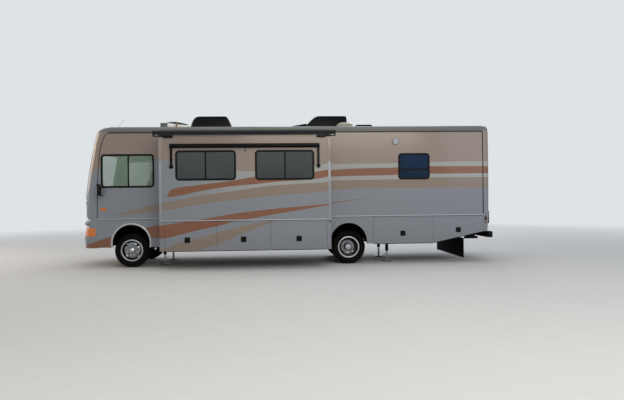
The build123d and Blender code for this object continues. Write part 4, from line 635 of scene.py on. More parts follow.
# Smooth copies of the moulded ends and the equipment
dressedCopy("front_cap", "moulded_front_cap", "coach", [nosePaint], angle=36)
dressedCopy("front_fascia", "moulded_lower_front", "coach", [fasciaPaint], angle=30)
dressedCopy("rear_cap", "moulded_rear_cap", "coach", [tailPaint], angle=36)
dressedCopy("windscreen", "curved_windscreen", "coach", [screenGlass], angle=36)
dressedCopy("grille", "moulded_grille", "coach", [blackPlastic], angle=30, bevel=0.003)
dressedCopy("skirts", "painted_skirts", "coach", [sidePaint, beltTrim],
            lambda c, n: 1166.2 < c.z * 1000 < 1195.8 and sideOf(c) > 1296, 30, 0.002)
dressedCopy("room_shell", "painted_room", "room", [sidePaint, beltTrim],
            lambda c, n: 1130.2 < c.z * 1000 < 1159.8 and sideOf(c) > 2056, 30, 0.002)
dressedCopy("side_glass", "side_window_panes", "coach", [privacyGlass, clearGlass, rearGlass],
            lambda c, n: 1 if drawingX(c) < 1000 else 2 if drawingX(c) > 6000 else 0)
for node, piece, body in (("window_frames", "side_window_frames", "coach"),
                          ("room_window_frames", "room_window_rings", "room")):
    dressedCopy(node, piece, body, [powderBlack], angle=30, bevel=0.004)
dressedCopy("left_wall", "painted_left_wall", "coach", [sidePaint], angle=30)
dressedCopy("right_wall", "painted_right_wall", "coach", [sidePaint], angle=30)
dressedCopy("ladder", "tube_ladder", "coach", [brightTrim], angle=50)
dressedCopy("rear_bumper", "folded_rear_bumper", "coach", [framePaint], angle=30, bevel=0.004)
dressedCopy("levelling_jacks", "jack_legs", "coach", [framePaint, chrome, zincSteel],
            lambda c, n: 2 if c.z < 0.027 else 1 if c.z < 0.2595 else 0, 40)
dressedCopy("mirrors_and_wipers", "mirror_heads_and_wipers", "coach", [blackPlastic, mirrorFace],
            lambda c, n: n.x > 0.98 and sideOf(c) > 1360 and 1.75 < c.z < 1.95, 40)
dressedCopy("tail_lamps", "tail_lamp_lenses", "coach", [redLens, clearLens, amberLens], None, 40, 0.003)
dressedCopy("patio_awning", "door_side_awning", "coach", [powderBlack, cloth],
            lambda c, n: abs(c.z - 3.14) < 0.0585 and abs(n.x) < 0.5 and sideOf(c) > 1310, 40)
dressedCopy("room_awnings", "room_awning_bars", "room", [powderBlack, cloth],
            lambda c, n: c.z > 3.108 and abs(n.x) < 0.5 and 900 < drawingX(c) < 4720, 40)


def ownFitting(spot):
    # The fittings that get finer pieces of their own: the front vent and antenna, and two lids further back
    x = drawingX(spot)
    return spot.z > 3.3 and (500 < x < 1300 or 3900 < x < 4320 or 5500 < x < 6100)


dressedCopy("roof_fittings", "roof_vents_and_antennas", "coach", [agedDome, cornerSilver],
            lambda c, n: c.z < 3.3, 40, 0.004, ownFitting)
roofTop = 3392

# Front vent: a curb with a domed cover that rises to the front, and a ribbed housing ahead of it
frontVent = {
    "curb": (706, 1292, 235, 3498), "coverMiddle": 999, "coverLength": 285, "coverHalf": 222, "coverZ": 3494,
    "coverRise": 38, "coverSlope": 10, "housing": (538, 702, 168, 3622), "ribZ": (3420, 3610),
}
frontX, rearX, half, topZ = frontVent["curb"]
bm = bmesh.new()
roundedBlock(bm, at(frontX, -half, roofTop - 2), at(rearX, half, topZ), 0.012)
for vert in roundedBlock(bm, (-1, -1, -1), (1, 1, 1), 0.3, 5):
    u, v, w = vert.co
    lift = w + 1
    vert.co = at(frontVent["coverMiddle"] + u * frontVent["coverLength"] - lift * 6,
                 v * (frontVent["coverHalf"] - lift * 12),
                 frontVent["coverZ"] + lift * (frontVent["coverRise"] - u * frontVent["coverSlope"]))
addPiece("front_vent_cover", bm, [paleFitting], "coach", 60)
frontX, rearX, half, topZ = frontVent["housing"]
ribLow, ribHigh = frontVent["ribZ"]
bm = bmesh.new()
roundedBlock(bm, at(frontX, -half, roofTop - 2), at(rearX, half, topZ), 0.012)
for rib in range(9):
    x = frontX + 8 + rib * 18
    roundedBlock(bm, at(x, -half - 8, ribLow), at(x + 8, half + 8, ribHigh), 0.003, 2)
for rib in range(15):
    y = 14 - half + rib * 21
    roundedBlock(bm, at(frontX - 6, y, ribLow), at(frontX + 4, y + 10, ribHigh), 0.003, 2)
addPiece("ribbed_vent_housing", bm, [greyFitting], "coach")

# Folded antenna: a wing of aerofoil section on a turning post
antenna = {  # the wing's stations are X, height, half-thickness and half-span
    "wing": [(675, 3644, 7, 20), (742, 3645, 15, 60), (846, 3640, 21, 150), (952, 3631, 23, 210),
             (1056, 3617, 21, 150), (1158, 3600, 16, 70), (1234, 3586, 7, 22)],
    "postX": 966, "postY": -266,
    "post": [(0.0, 0.0), (0.05, 0.0), (0.05, 0.025), (0.018, 0.045), (0.018, 0.212)],
}
bm = bmesh.new()
upright = Matrix.Rotation(math.radians(90), 4, "Y")
stations = [Matrix.Translation(at(x, 0, z)) @ Matrix.Diagonal((1, half / 1000, thick / 1000, 1)) @ upright
            for x, z, thick, half in antenna["wing"]]
bridgedRings(bm, stations, 1, 16)
addPiece("antenna_wing", bm, [wingPlastic], "coach", 50)
bm = bmesh.new()
turned(bm, antenna["post"], at(antenna["postX"], antenna["postY"], roofTop + 4), (0, 0, 1), 20)
tubeAlong(bm, [at(antenna["postX"], y, z) for y, z in ((antenna["postY"], 3600), (-210, 3616), (-100, 3620))],
          0.014, 10)
addPiece("antenna_post", bm, [brownPlastic], "coach", 40)

# Two dark lids: a wedge cover ahead of the rear cooler, and a domed lid behind the pale dome
roofLids = [  # front X, rear X, half-width, height at the front and at the rear, and how far both ends drop
    (3918, 4352, 200, 3534, 3600, 4),
    (5592, 6084, 225, 3582, 3582, 34),
]
bm = bmesh.new()
for frontX, rearX, half, frontZ, rearZ, drop in roofLids:
    for vert in roundedBlock(bm, (-1, -1, -1), (1, 1, 1), 0.2, 5):
        u, v, w = vert.co
        share = (w + 1) / 2
        inset = 1 - 0.1 * share
        topZ = (frontZ + rearZ) / 2 + u * (rearZ - frontZ) / 2
        vert.co = at((frontX + rearX) / 2 + u * inset * (rearX - frontX) / 2, v * half * inset,
                     roofTop + share * (topZ - roofTop - 8 * v * v - drop * u * u))
addPiece("dark_roof_lids", bm, [lidPlastic], "coach", 60)

# Front lamps: clear and amber lenses, bowls with a bulb in each, and a tub behind every lamp
lampBowls = [(735, 880, 62, -1130), (905, 880, 66, -1120), (820, 645, 40, -1135)]  # Y, height, radius and X
lampTubs = [  # inner and outer Y, low and high Z, front and rear X
    (642, 1008, 802, 958, -1076, -1040),
    (1052, 1178, 774, 968, -980, -958),
    (762, 878, 602, 688, -1080, -1040),
]
dressedCopy("front_lamps", "front_lamp_lenses", "coach", [clearLens, amberLens],
            lambda c, n: c.z > 1.3 or sideOf(c) > 1030, 40)
bowls, bulbs, tubs = bmesh.new(), bmesh.new(), bmesh.new()
for side in (-1, 1):
    for y, z, radius, x in lampBowls:
        centre = at(x, side * y, z)
        rim = radius / 1000
        bowl = [(0.006, 0.050), (rim * 0.45, 0.040), (rim * 0.8, 0.022), (rim, 0.0), (rim + 0.004, -0.002),
                (rim + 0.004, 0.004), (rim * 0.8, 0.030), (0.006, 0.056)]
        turned(bowls, bowl, centre, (1, 0, 0), 32, (0, 0, 1))
        turned(bulbs, [(0.0, -0.002), (0.008, 0.002), (0.011, 0.010), (0.011, 0.048), (0.0, 0.050)], centre,
               (1, 0, 0), 16, (0, 0, 1))
    for innerY, outerY, lowZ, highZ, frontX, rearX in lampTubs:
        roundedBlock(tubs, at(frontX, side * innerY, lowZ), at(rearX, side * outerY, highZ), 0.008, 2)
addPiece("lamp_reflector_bowls", bowls, [chrome], "coach", 40)
addPiece("lamp_bulbs", bulbs, [paleFitting], "coach", 40)
addPiece("lamp_tubs", tubs, [blackPlastic], "coach")
print("lamps ready")


def edgeChains(edges):
    # Edges joined end to end into lists of places
    left, chains = dict.fromkeys(edges), []
    while left:
        edge = left.popitem()[0]
        chain = [edge.verts[0], edge.verts[1]]
        onward = True
        while onward:
            onward = [link for link in chain[-1].link_edges if link in left]
            if onward:
                del left[onward[0]]
                chain.append(onward[0].other_vert(chain[-1]))
        if chain[0] is chain[-1]:
            chain.pop()
        chains.append([vert.co.copy() for vert in chain])
    return chains


# Rubber gasket round each pane of the windscreen, along the outer rim of the glass
gasket = {"radius": 0.012, "spacing": 0.016}
pane = bmesh.new()
pane.from_mesh(nodes["windscreen"].data)
bmesh.ops.remove_doubles(pane, verts=pane.verts, dist=0.00003)
rims = [edge for edge in pane.edges if len(edge.link_faces) == 2
        and (edge.link_faces[0].normal.x < -0.5) != (edge.link_faces[1].normal.x < -0.5)]
chains = [chain for chain in edgeChains(rims) if len(chain) > 12]
bm = bmesh.new()
for chain in chains:
    spaced = [chain[0]]
    for spot in chain[1:]:
        if (spot - spaced[-1]).length > gasket["spacing"]:
            spaced.append(spot)
    if (spaced[-1] - spaced[0]).length < gasket["spacing"]:
        spaced.pop()
    tubeLoop(bm, spaced, gasket["radius"])
pane.free()
addPiece("windscreen_gaskets", bm, [sealRubber], "coach", 60)

# Radiator core behind the grille and the lower intake
radiator = {"frontX": -1120, "rearX": -1105, "half": 560, "lowZ": 505, "highZ": 1000, "fins": 24, "pitch": 20}
bm = bmesh.new()
roundedBlock(bm, at(radiator["frontX"], -radiator["half"], radiator["lowZ"]),
             at(radiator["rearX"], radiator["half"], radiator["highZ"]), 0.004, 1)
for fin in range(radiator["fins"]):
    z = radiator["lowZ"] + 10 + fin * radiator["pitch"]
    roundedBlock(bm, at(radiator["frontX"] - 4, 10 - radiator["half"], z),
                 at(radiator["frontX"] + 1, radiator["half"] - 10, z + 8), 0)
addPiece("radiator_core", bm, [wheelBarrel], "coach")


def surfaceSpot(node, start, way):
    # Where a line first meets a CAD node, and the normal there
    mesh = bmesh.new()
    mesh.from_mesh(nodes[node].data)
    tree = BVHTree.FromBMesh(mesh)
    mesh.free()
    return tree.ray_cast(start, Vector(way))[:2]


def addEndLamp(bm, spot, normal, width, height, proud):
    # A small lamp moulded to sit square on a sloping face
    lamp = roundedBlock(bm, (-width / 2, -height / 2, -proud), (width / 2, height / 2, proud), proud * 0.6)
    bmesh.ops.transform(bm, matrix=squareTo(normal, spot), verts=lamp)


# Lamps and a camera on the sloping faces of both caps
endLamps = {  # node, way along X, height, places across, size across, high and proud
    "cab_roof_lamps": ("front_cap", 1, 3085, (-720, -230, 0, 230, 720), (0.11, 0.036, 0.016), amberLens),
    "tail_roof_lamps": ("rear_cap", -1, 3160, (-720, -230, 0, 230, 720), (0.11, 0.036, 0.013), redLens),
    "third_brake_lamp": ("rear_cap", -1, 3060, (0,), (0.36, 0.03, 0.011), redLens),
    "reversing_camera": ("rear_cap", -1, 3235, (0,), (0.13, 0.05, 0.03), blackPlastic),
}
for name, (node, way, z, places, size, finish) in endLamps.items():
    bm = bmesh.new()
    for y in places:
        addEndLamp(bm, *surfaceSpot(node, at(-way * 16000, y, z), (way, 0, 0)), *size)
    addPiece(name, bm, [finish], "coach", 50)

# Side markers low on the rear cap: a dark bezel with a red lens over an amber one
sideMarkers = {  # height, and size along, high and proud
    "side_marker_bezels": (1058, (0.060, 0.176, 0.008), powderBlack),
    "side_marker_red_lenses": (1095, (0.048, 0.092, 0.013), smokedLens),
    "side_marker_amber_lenses": (1009, (0.048, 0.066, 0.013), agedLens),
}
for name, (z, size, finish) in sideMarkers.items():
    bm = bmesh.new()
    for side in (-1, 1):
        addEndLamp(bm, *surfaceSpot("rear_cap", at(8696, side * 3000, z), (0, -side, 0)), *size)
    addPiece(name, bm, [finish], "coach", 50)

# Tail lamps in three cells with a black surround
lensFace = (max(vert.co.x for vert in nodes["tail_lamps"].data.vertices) - bodyShift.x) * 1000
cells = {"amber": (1182, 1252, amberLens), "red": (1044, 1176, redLens), "clear": (968, 1038, paleFitting)}
surround = [  # inner and outer Y, low and high Z
    (1036, 1046, 956, 1264), (1184, 1194, 956, 1264), (1046, 1184, 956, 966), (1046, 1184, 1254, 1264),
    (1046, 1184, 1177, 1181), (1046, 1184, 1039, 1043),
]
for tone, (lowZ, highZ, finish) in cells.items():
    bm = bmesh.new()
    for side in (-1, 1):
        roundedBlock(bm, at(lensFace - 12, side * 1048, lowZ), at(lensFace + 6, side * 1182, highZ), 0.005)
    addPiece(f"{tone}_tail_lamp_cells", bm, [finish], "coach")
bm = bmesh.new()
for side in (-1, 1):
    for innerY, outerY, lowZ, highZ in surround:
        roundedBlock(bm, at(lensFace - 14, side * innerY, lowZ), at(lensFace + 4, side * outerY, highZ),
                     0.0015, 1)
addPiece("tail_lamp_surrounds", bm, [powderBlack], "coach")

# Louvred hatches on the door side: a tall one for the refrigerator and a small one for the furnace
hatches = [(4930, 5480, 1300, 1850), (4980, 5330, 2860, 3010)]
bm = bmesh.new()
for frontX, rearX, lowZ, highZ in hatches:
    roundedBlock(bm, at(frontX, 1290, lowZ), at(rearX, 1301, highZ), 0.004)
    for z in range(lowZ + 34, highZ - 34, 24):  # slats
        roundedBlock(bm, at(frontX + 36, 1299, z), at(rearX - 36, 1307, z + 11), 0.003, 2)
addPiece("louvred_hatches", bm, [cornerSilver], "coach")

# Dark seam beads round the front cap's edge on both sides, running into the eaves rail
capSeam = [(-771, 1200), (-764, 1430), (-759, 1643), (-750, 2001), (-738, 2260), (-721, 2479), (-704, 2660),
           (-681, 2837), (-660, 2935), (-632, 3027), (-605, 3104), (-572, 3170), (-535, 3215), (-489, 3240),
           (-440, 3246)]
bm = bmesh.new()
for side in (-1, 1):
    tubeAlong(bm, [at(x, side * 1297, z) for x, z in capSeam], 0.0075, 8)
addPiece("cap_seam_beads", bm, [sealRubber], "coach", 60)

# Upright seam covers down the rear corners, where the walls meet the rear cap
bm = bmesh.new()
for side in (-1, 1):
    roundedBlock(bm, at(8624, side * 1294, 1200), at(8646, side * 1300, 3228), 0.0025, 2)
addPiece("rear_seam_covers", bm, [sealRubber], "coach")

# Light lips round the wheel arches: a wide one at the front axle, a narrow one at the rear
archLips = {  # X, height, radius, width, how proud it stands, and degrees to each side of the top
    "front": (27, 600, 0.442, 0.040, 0.009, 103),
    "rear": (5270, 570, 0.448, 0.014, 0.004, 99),
}
for name, (archX, archZ, radius, width, proud, sweep) in archLips.items():
    bm = bmesh.new()
    for side in (-1, 1):
        start = math.radians(sweep)
        out = Vector((-math.sin(start), 0, math.cos(start)))
        centre = at(archX, side * 1295, archZ)
        section = [(radius - 0.002, -0.02), (radius - 0.002, proud * 0.7), (radius + 0.004, proud),
                   (radius + width * 0.8, proud), (radius + width, proud * 0.5), (radius + width, -0.002)]
        verts = [bm.verts.new(centre + out * r + Vector((0, side * d, 0))) for r, d in section]
        edges = [bm.edges.new((a, b)) for a, b in zip(verts, verts[1:] + verts[:1])]
        face = bm.faces.new(verts)
        bmesh.ops.spin(bm, geom=[face] + verts + edges, cent=centre, axis=(0, 1, 0), angle=2 * start,
                       steps=48, use_duplicate=False)
    addPiece(f"{name}_arch_lips", bm, [lipTrim if name == "front" else sidePaint], "coach", 40)

# Inner end walls of the wheel wells, above the axles
wellEnds = ((27, 600, 478, 700), (5270, 570, 464, 520))  # X, height, radius and lower edge
bm = bmesh.new()
for side in (-1, 1):
    for archX, archZ, radius, lowZ in wellEnds:
        low = math.degrees(math.asin((lowZ - archZ) / radius))
        outline = [at(archX + radius * math.cos(math.radians(turn)), side * 590,
                      archZ + radius * math.sin(math.radians(turn)))
                   for turn in [low + (180 - 2 * low) * step / 40 for step in range(41)]]
        face = bm.faces.new([bm.verts.new(spot) for spot in outline])
        made = bmesh.ops.extrude_face_region(bm, geom=[face])
        bmesh.ops.translate(bm, vec=(0, -side * 0.006, 0),
                            verts=[vert for vert in made["geom"] if isinstance(vert, bmesh.types.BMVert)])
addPiece("wheel_well_ends", bm, [archPlastic], "coach")

# Corner extrusions up both ends of the room's face, a reflector low at its rear, and its opening's seal
roomTrim = {
    "corners": [(841, 899), (4715, 4773)], "lowZ": 1160, "splitZ": 2480, "highZ": 3130,
    "reflector": ((4722, -2067, 1078), (4768, -2060, 1110)),
    "seal": [(832, 1205), (832, 3110), (836, 3131), (850, 3141), (4764, 3141), (4778, 3131), (4782, 3110),
             (4782, 1205)],
}
bm = bmesh.new()
for frontX, rearX in roomTrim["corners"]:
    for lowZ, highZ in ((roomTrim["lowZ"], roomTrim["splitZ"]), (roomTrim["splitZ"] + 1, roomTrim["highZ"])):
        roundedBlock(bm, at(frontX, -2062, lowZ), at(rearX, -2053, highZ), 0.004)
for face in bm.faces:
    face.material_index = int(face.calc_center_median().z * 1000 < roomTrim["splitZ"] + 0.5)
addPiece("room_corner_extrusions", bm, [cornerTrim, cornerSilver], "room")
bm = bmesh.new()
low, high = roomTrim["reflector"]
roundedBlock(bm, at(*low), at(*high), 0.003, 2)
addPiece("room_corner_reflector", bm, [smokedLens], "room")
bm = bmesh.new()
tubeAlong(bm, [at(x, -1294.5, z) for x, z in roomTrim["seal"]], 0.0045, 8)
addPiece("room_opening_seal", bm, [sealRubber], "coach", 60)

# Black rubber strips under the belt trims, which part the skirts and storage doors from the walls: painted
# shade, a dark line where the trims' shade falls
beltShadeLines = {  # side, wall's distance, front X, rear X and height
    "coach": [(-1, 1295, -750, 834, 1160), (-1, 1295, 4780, 8630, 1160), (1, 1295, -750, 684, 1160),
              (1, 1295, 1360, 8630, 1160)],
    "room": [(-1, 2055, 848, 4766, 1124)],
}
for body, lines in beltShadeLines.items():
    bm = bmesh.new()
    for side, wallY, frontX, rearX, z in lines:
        roundedBlock(bm, at(frontX, side * (wallY - 1), z), at(rearX, side * (wallY + 3), z + 9), 0.0015, 1)
    addPiece(f"{body}_belt_shade_strip", bm, [sealRubber], body)

# Strap that hangs from the middle of the window awning
pullStrap = [((2801, -2112, 2742), (2815, -2103, 2812), 0.002),
             ((2796, -2116, 2730), (2820, -2100, 2752), 0.004)]
bm = bmesh.new()
for low, high, radius in pullStrap:
    roundedBlock(bm, at(*low), at(*high), radius, 2)
addPiece("awning_pull_strap", bm, [powderBlack], "room")
print("mouldings ready")

# Storage doors with rounded edges, paddle latches, and dark strips under their lower edges that are painted
# shade from under the body
tailSill = {"fromX": 7360, "slope": (768 - 500) / (8635 - 7360)}  # the sills rise behind the rear wheels
storageDoors = {  # body: side, wall's distance, front X, rear X, lower edge, latch X, latch height
    "room_door_1": (-1, 2055, 966, 2134, 455, 1469, 703),
    "room_door_2": (-1, 2055, 2140, 3362, 455, 2749, 703),
    "room_door_3": (-1, 2055, 3368, 4673, 455, 4025, 703),
    "rear_left_door_1": (-1, 1295, 5890, 7373, 500, 6611, 743),
    "rear_left_door_2": (-1, 1295, 7379, 8620, 500, 7999, 813),
    "right_door_1": (1, 1295, 1425, 3077, 500, 2250, 743),
    "right_door_2": (1, 1295, 3083, 4735, 500, 3910, 743),
    "right_door_3": (1, 1295, 5890, 7371, 500, 6611, 743),
}
latch = {"size": 0.124, "thick": 0.012, "proud": 0.0055, "corner": 0.02, "border": 0.013, "dish": 0.008}


def addLatch(bm, x, y, z, side):
    # Bezel with a sunk dish, a folding paddle and a lock barrel
    out = Vector((0, side, 0))
    centre = at(x, y, z)
    bezel = bmesh.ops.create_cube(bm, size=1)["verts"]
    bmesh.ops.scale(bm, vec=(latch["size"], latch["thick"], latch["size"]), verts=bezel)
    bmesh.ops.translate(bm, vec=centre + out * latch["proud"], verts=bezel)
    upright = [edge for edge in bm.edges if abs(edge.verts[0].co.y - edge.verts[1].co.y) > latch["thick"] / 2]
    bevelled(bm, upright, latch["corner"], 5)
    front = max((face for face in bm.faces if face.normal.y * side > 0.9), key=lambda face: face.calc_area())
    bmesh.ops.inset_region(bm, faces=[front], thickness=latch["border"])
    bmesh.ops.inset_region(bm, faces=[front], thickness=0.002, depth=-latch["dish"])
    paddle = centre + out * 0.0095
    roundedBlock(bm, paddle - Vector((0.034, 0.004, 0.028)), paddle + Vector((0.034, 0.004, 0.022)),
                 0.0035, 2)
    turned(bm, [(0.0, 0.008), (0.008, 0.008), (0.010, 0.006), (0.010, 0.0)],
           centre + out * 0.004 + Vector((0, 0, 0.034)), out, 16, (0, 0, 1))


for name, (side, wallY, frontX, rearX, lowZ, latchX, latchZ) in storageDoors.items():
    dressedCopy(name, f"{name}_panel", name, [sidePaint, powderBlack],
                lambda c, n, wallY=wallY: sideOf(c) > wallY + 1 and c.z < 1.05, 30, 0.003)
    bm = bmesh.new()
    addLatch(bm, latchX, side * wallY, latchZ, side)
    addPiece(f"{name}_latch", bm, [powderBlack], name, 40)
    # A dark strip under the door's lower edge: painted shade
    bm = bmesh.new()
    roundedBlock(bm, at(frontX + 4, side * (wallY - 24), lowZ - 16),
                 at(rearX - 4, side * (wallY - 4), lowZ + 4), 0.003, 2)
    if frontX > tailSill["fromX"]:
        bmesh.ops.bisect_plane(bm, geom=bm.verts[:] + bm.edges[:] + bm.faces[:],
                               plane_co=at(frontX + 1, 0, 0), plane_no=(1, 0, 0))
        for vert in bm.verts:
            vert.co.z += max(0, drawingX(vert.co) - tailSill["fromX"]) * tailSill["slope"] / 1000
    addPiece(f"{name}_lower_shade_strip", bm, [sealRubber], name)
dressedCopy("entry_door", "entry_door_panel", "entry_door", [sidePaint, powderBlack],
            lambda c, n: sideOf(c) > 1299, 30, 0.003)

# Entry door: rubber gasket round its window, lever latch with a lock, and a grab bar beside it on the wall
entryDoor = {
    "window": (831, 1211, 2110, 2730), "windowRound": 60,
    "lever": [((1206, 1294, 1612), (1280, 1309, 1788), 0.006),
              ((1216, 1307, 1660), (1270, 1316, 1712), 0.005)],
    "lock": (1243, 1307, 1752),
}
bm = bmesh.new()
tubeLoop(bm, roundedPath(*entryDoor["window"], 1296, entryDoor["windowRound"]), 0.011)
addPiece("entry_window_gasket", bm, [sealRubber], "entry_door", 60)
bm = bmesh.new()
for low, high, radius in entryDoor["lever"]:
    roundedBlock(bm, at(*low), at(*high), radius)
turned(bm, [(0.0, 0.010), (0.012, 0.010), (0.014, 0.007), (0.014, 0.0)], at(*entryDoor["lock"]), (0, 1, 0),
       20, (0, 0, 1))
addPiece("entry_door_lever", bm, [powderBlack], "entry_door", 40)
grabBar = {
    "x": 1430, "radius": 0.014,
    "path": [(1294, 1340), (1326, 1342), (1346, 1362), (1352, 1400), (1352, 1700), (1352, 1960), (1346, 1998),
             (1326, 2018), (1294, 2020)],
    "flange": [(0.0, 0.006), (0.030, 0.006), (0.034, 0.002), (0.034, -0.002)],
}
bm = bmesh.new()
tubeAlong(bm, [at(grabBar["x"], y, z) for y, z in grabBar["path"]], grabBar["radius"], 12)
for y, z in (grabBar["path"][0], grabBar["path"][-1]):
    turned(bm, grabBar["flange"], at(grabBar["x"], y + 2, z), (0, 1, 0), 24, (0, 0, 1))
addPiece("entry_grab_bar", bm, [powderBlack], "coach", 50)
print("doors ready")

# Wheels: smooth copies with barrels darkened by painted shade, hexagon nuts on the bolts, bright rim beads
# and valve stems
wheelHardware = {
    "discFront": 77, "discRear": 888,  # the discs' faces: from the tyre's middle, and from the centreline
    "nuts": 8, "nutRadius": 0.0195, "nutHeight": 0.034, "boltCircle": 0.1375,
    "beadFace": 0.108, "bead": [(0.2335, -0.006), (0.2335, 0.001), (0.238, 0.004), (0.256, 0.004),
                                (0.2645, 0.001), (0.2665, -0.004)],
}
for corner, (x, y, insets) in wheelPlaces.items():
    side = 1 if y > 0 else -1
    front = corner.startswith("front")
    body = f"{corner}_wheel" if front else f"{corner}_wheels"
    discY = side * (abs(y) + wheelHardware["discFront"] if front else wheelHardware["discRear"])
    out = Vector((0, side, 0))

    def rimFinish(c, n, hub=at(x, y, 410), out=out, front=front):
        # Chrome hub cap, polished rim edge and disc, and a darker barrel that is painted shade in the rim's
        # hollow, taking in the outer dish on the rear wheels
        reach = c - hub
        radius = math.hypot(reach.x, reach.z)
        if radius < 0.066:
            return 2
        if radius > 0.2345 and reach.dot(out) > 0.09:
            return 0
        return radius > (0.222 if front else 0.17)

    dressedCopy(body, f"{corner}_polished_wheels", body, [polished, wheelBarrel, chrome], rimFinish, 38,
                0.0025)
    radius, tall = wheelHardware["nutRadius"], wheelHardware["nutHeight"]
    nut = [(0.0, tall), (0.010, tall), (0.017, tall - 0.005), (radius, tall - 0.012), (radius, 0.004),
           (0.024, 0.002), (0.024, -0.002)]
    bm = bmesh.new()
    for number in range(wheelHardware["nuts"]):
        turn = math.tau * (number + 0.5) / wheelHardware["nuts"]
        spoke = Vector((math.cos(turn), 0, math.sin(turn)))
        turned(bm, nut, at(x, discY - side * 2, 410) + spoke * wheelHardware["boltCircle"], out, 6, spoke)
    addPiece(f"{corner}_wheel_nuts", bm, [chrome], body, 25)
    bm = bmesh.new()
    turned(bm, wheelHardware["bead"], at(x, y, 410) + out * wheelHardware["beadFace"], out, 72, (0, 0, 1))
    stem = at(x, y, 410) + Vector((0.18, 0, -0.13))
    tip = stem + out * 0.104 + Vector((0.006, 0, -0.004))
    tubeAlong(bm, [stem + out * 0.055, stem + out * 0.085, tip], 0.005, 8)
    addPiece(f"{corner}_rim_bead", bm, [lipTrim], body)
print("wheels ready")

# Roof coolers: moulded shrouds with rounded ends, drawn in towards the top, with louvres near the rear
coolers = [  # front and rear X at the base and at the top, and how round the two ends are
    (1318, 2390, 1512, 2256, 1.9, 1.45),
    (4248, 5378, 4576, 5334, 1.35, 2.6),
]
cooler = {
    "height": 355, "half": 350, "topHalf": 262, "round": 92, "sideCurve": 1.6,
    "shares": (0.2, 0.38, 0.54, 0.67, 0.77, 0.85, 0.91, 0.95, 0.98, 0.995, 1),  # the heights of its rings
    "louvres": 6, "louvreZ": 3448, "louvrePitch": 22,
}


def coolerSection(shroud, share):
    # Front, rear and half-width of a shroud at a share of its height
    baseFront, baseRear, topFront, topRear, frontCurve, rearCurve = shroud
    frontDrawn, rearDrawn, sideDrawn = (1 - (1 - share ** curve) ** (1 / curve)
                                        for curve in (frontCurve, rearCurve, cooler["sideCurve"]))
    return (baseFront + (topFront - baseFront) * frontDrawn, baseRear + (topRear - baseRear) * rearDrawn,
            cooler["half"] + (cooler["topHalf"] - cooler["half"]) * sideDrawn)


def moveSides(verts, middleX, front, rear, side):
    # Shift the verts ahead of and behind the middle, and those on either side of it, by millimetres
    for vert in verts:
        vert.co.x += (rear if vert.co.x > middleX else front) / 1000
        vert.co.y += math.copysign(side, vert.co.y) / 1000


bm = bmesh.new()
for shroud in coolers:
    made = bmesh.ops.create_circle(bm, cap_ends=True, segments=24, radius=cooler["round"] / 1000,
                                   matrix=Matrix.Rotation(math.radians(7.5), 4, "Z"))
    cap = made["verts"][0].link_faces[0]
    below = coolerSection(shroud, 0)
    corner = cooler["round"]
    moveSides(cap.verts, 0, below[0] + corner, below[1] - corner, below[2] - corner)
    for share in cooler["shares"]:
        raised = bmesh.ops.extrude_face_region(bm, geom=[cap, *cap.edges])["geom"]
        cap = next(item for item in raised if isinstance(item, bmesh.types.BMFace))
        section = coolerSection(shroud, share)
        moveSides(cap.verts, (below[0] + below[1]) / 2000, *(new - old for new, old in zip(section, below)))
        for vert in cap.verts:
            vert.co.z = cooler["height"] * share / 1000
        below = section
bmesh.ops.translate(bm, vec=at(0, 0, roofTop), verts=bm.verts)
addPiece("moulded_cooler_shrouds", bm, [shroudPlastic], "coach", 60, ("air_conditioners",))
bm = bmesh.new()
for shroud in coolers:
    for level in range(cooler["louvres"]):
        z = cooler["louvreZ"] + level * cooler["louvrePitch"]
        backX, half = coolerSection(shroud, (z - roofTop) / cooler["height"])[1:]
        roundedBlock(bm, at(backX - 22, -200, z), at(backX + 2, 200, z + 9), 0.003, 2)
        for side in (-1, 1):
            roundedBlock(bm, at(shroud[1] - 420, side * (half - 14), z),
                         at(shroud[1] - 140, side * (half + 2), z + 9), 0.003, 2)
addPiece("cooler_louvres", bm, [powderBlack], "coach")

# Lap sealant spread round the foot of each roof fitting
lapSealant = {
    "dome": (5252, -800, 0.214),  # place and radius
    "pads": [(520, 1306, 250), (3910, 4232, 210), (5582, 6094, 236), (1310, 2398, 358), (4240, 5386, 358)],
}
domeX, domeY, radius = lapSealant["dome"]
bm = bmesh.new()
turned(bm, [(radius - 0.012, 0.002), (radius, 0.005), (radius + 0.014, 0.004), (radius + 0.02, 0.0)],
       at(domeX, domeY, 3400), (0, 0, 1), 40, (1, 0, 0))
for frontX, rearX, half in lapSealant["pads"]:
    roundedBlock(bm, at(frontX, -half, 3399), at(rearX, half, 3404), 0.002, 2)
addPiece("roof_lap_sealant", bm, [paleFitting], "coach", 40)
print("roof ready")

# Topper cloth: woven sheet from the eaves rail to the roller, with a shallow sag and ripples
topper = {
    "frontX": 861, "rearX": 4753, "innerY": -1309.3, "outerY": -2130, "innerZ": 3241.5, "outerZ": 3201.8,
    "sag": 13, "ripple": 2.2, "gauge": 0.0024,
}
bm = bmesh.new()
bmesh.ops.create_grid(bm, x_segments=130, y_segments=26, size=0.5)
for vert in bm.verts:
    u, v = vert.co.x + 0.5, vert.co.y + 0.5
    belly = 4 * v * (1 - v)
    z = topper["innerZ"] + (topper["outerZ"] - topper["innerZ"]) * v - belly * topper["sag"]
    z += belly * topper["ripple"] * math.sin(u * 61 + 3 * math.sin(v * 5)) * math.sin(u * 17 + 1.3)
    vert.co = at(topper["frontX"] + (topper["rearX"] - topper["frontX"]) * u,
                 topper["innerY"] + (topper["outerY"] - topper["innerY"]) * v, z)
bmesh.ops.recalc_face_normals(bm, faces=bm.faces)
bmesh.ops.solidify(bm, geom=bm.faces[:], thickness=topper["gauge"])
topperCloth = addPiece("topper_cloth", bm, [cloth], "room", 50, ("topper_fabric",))
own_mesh(topperCloth)
print("cloth ready")

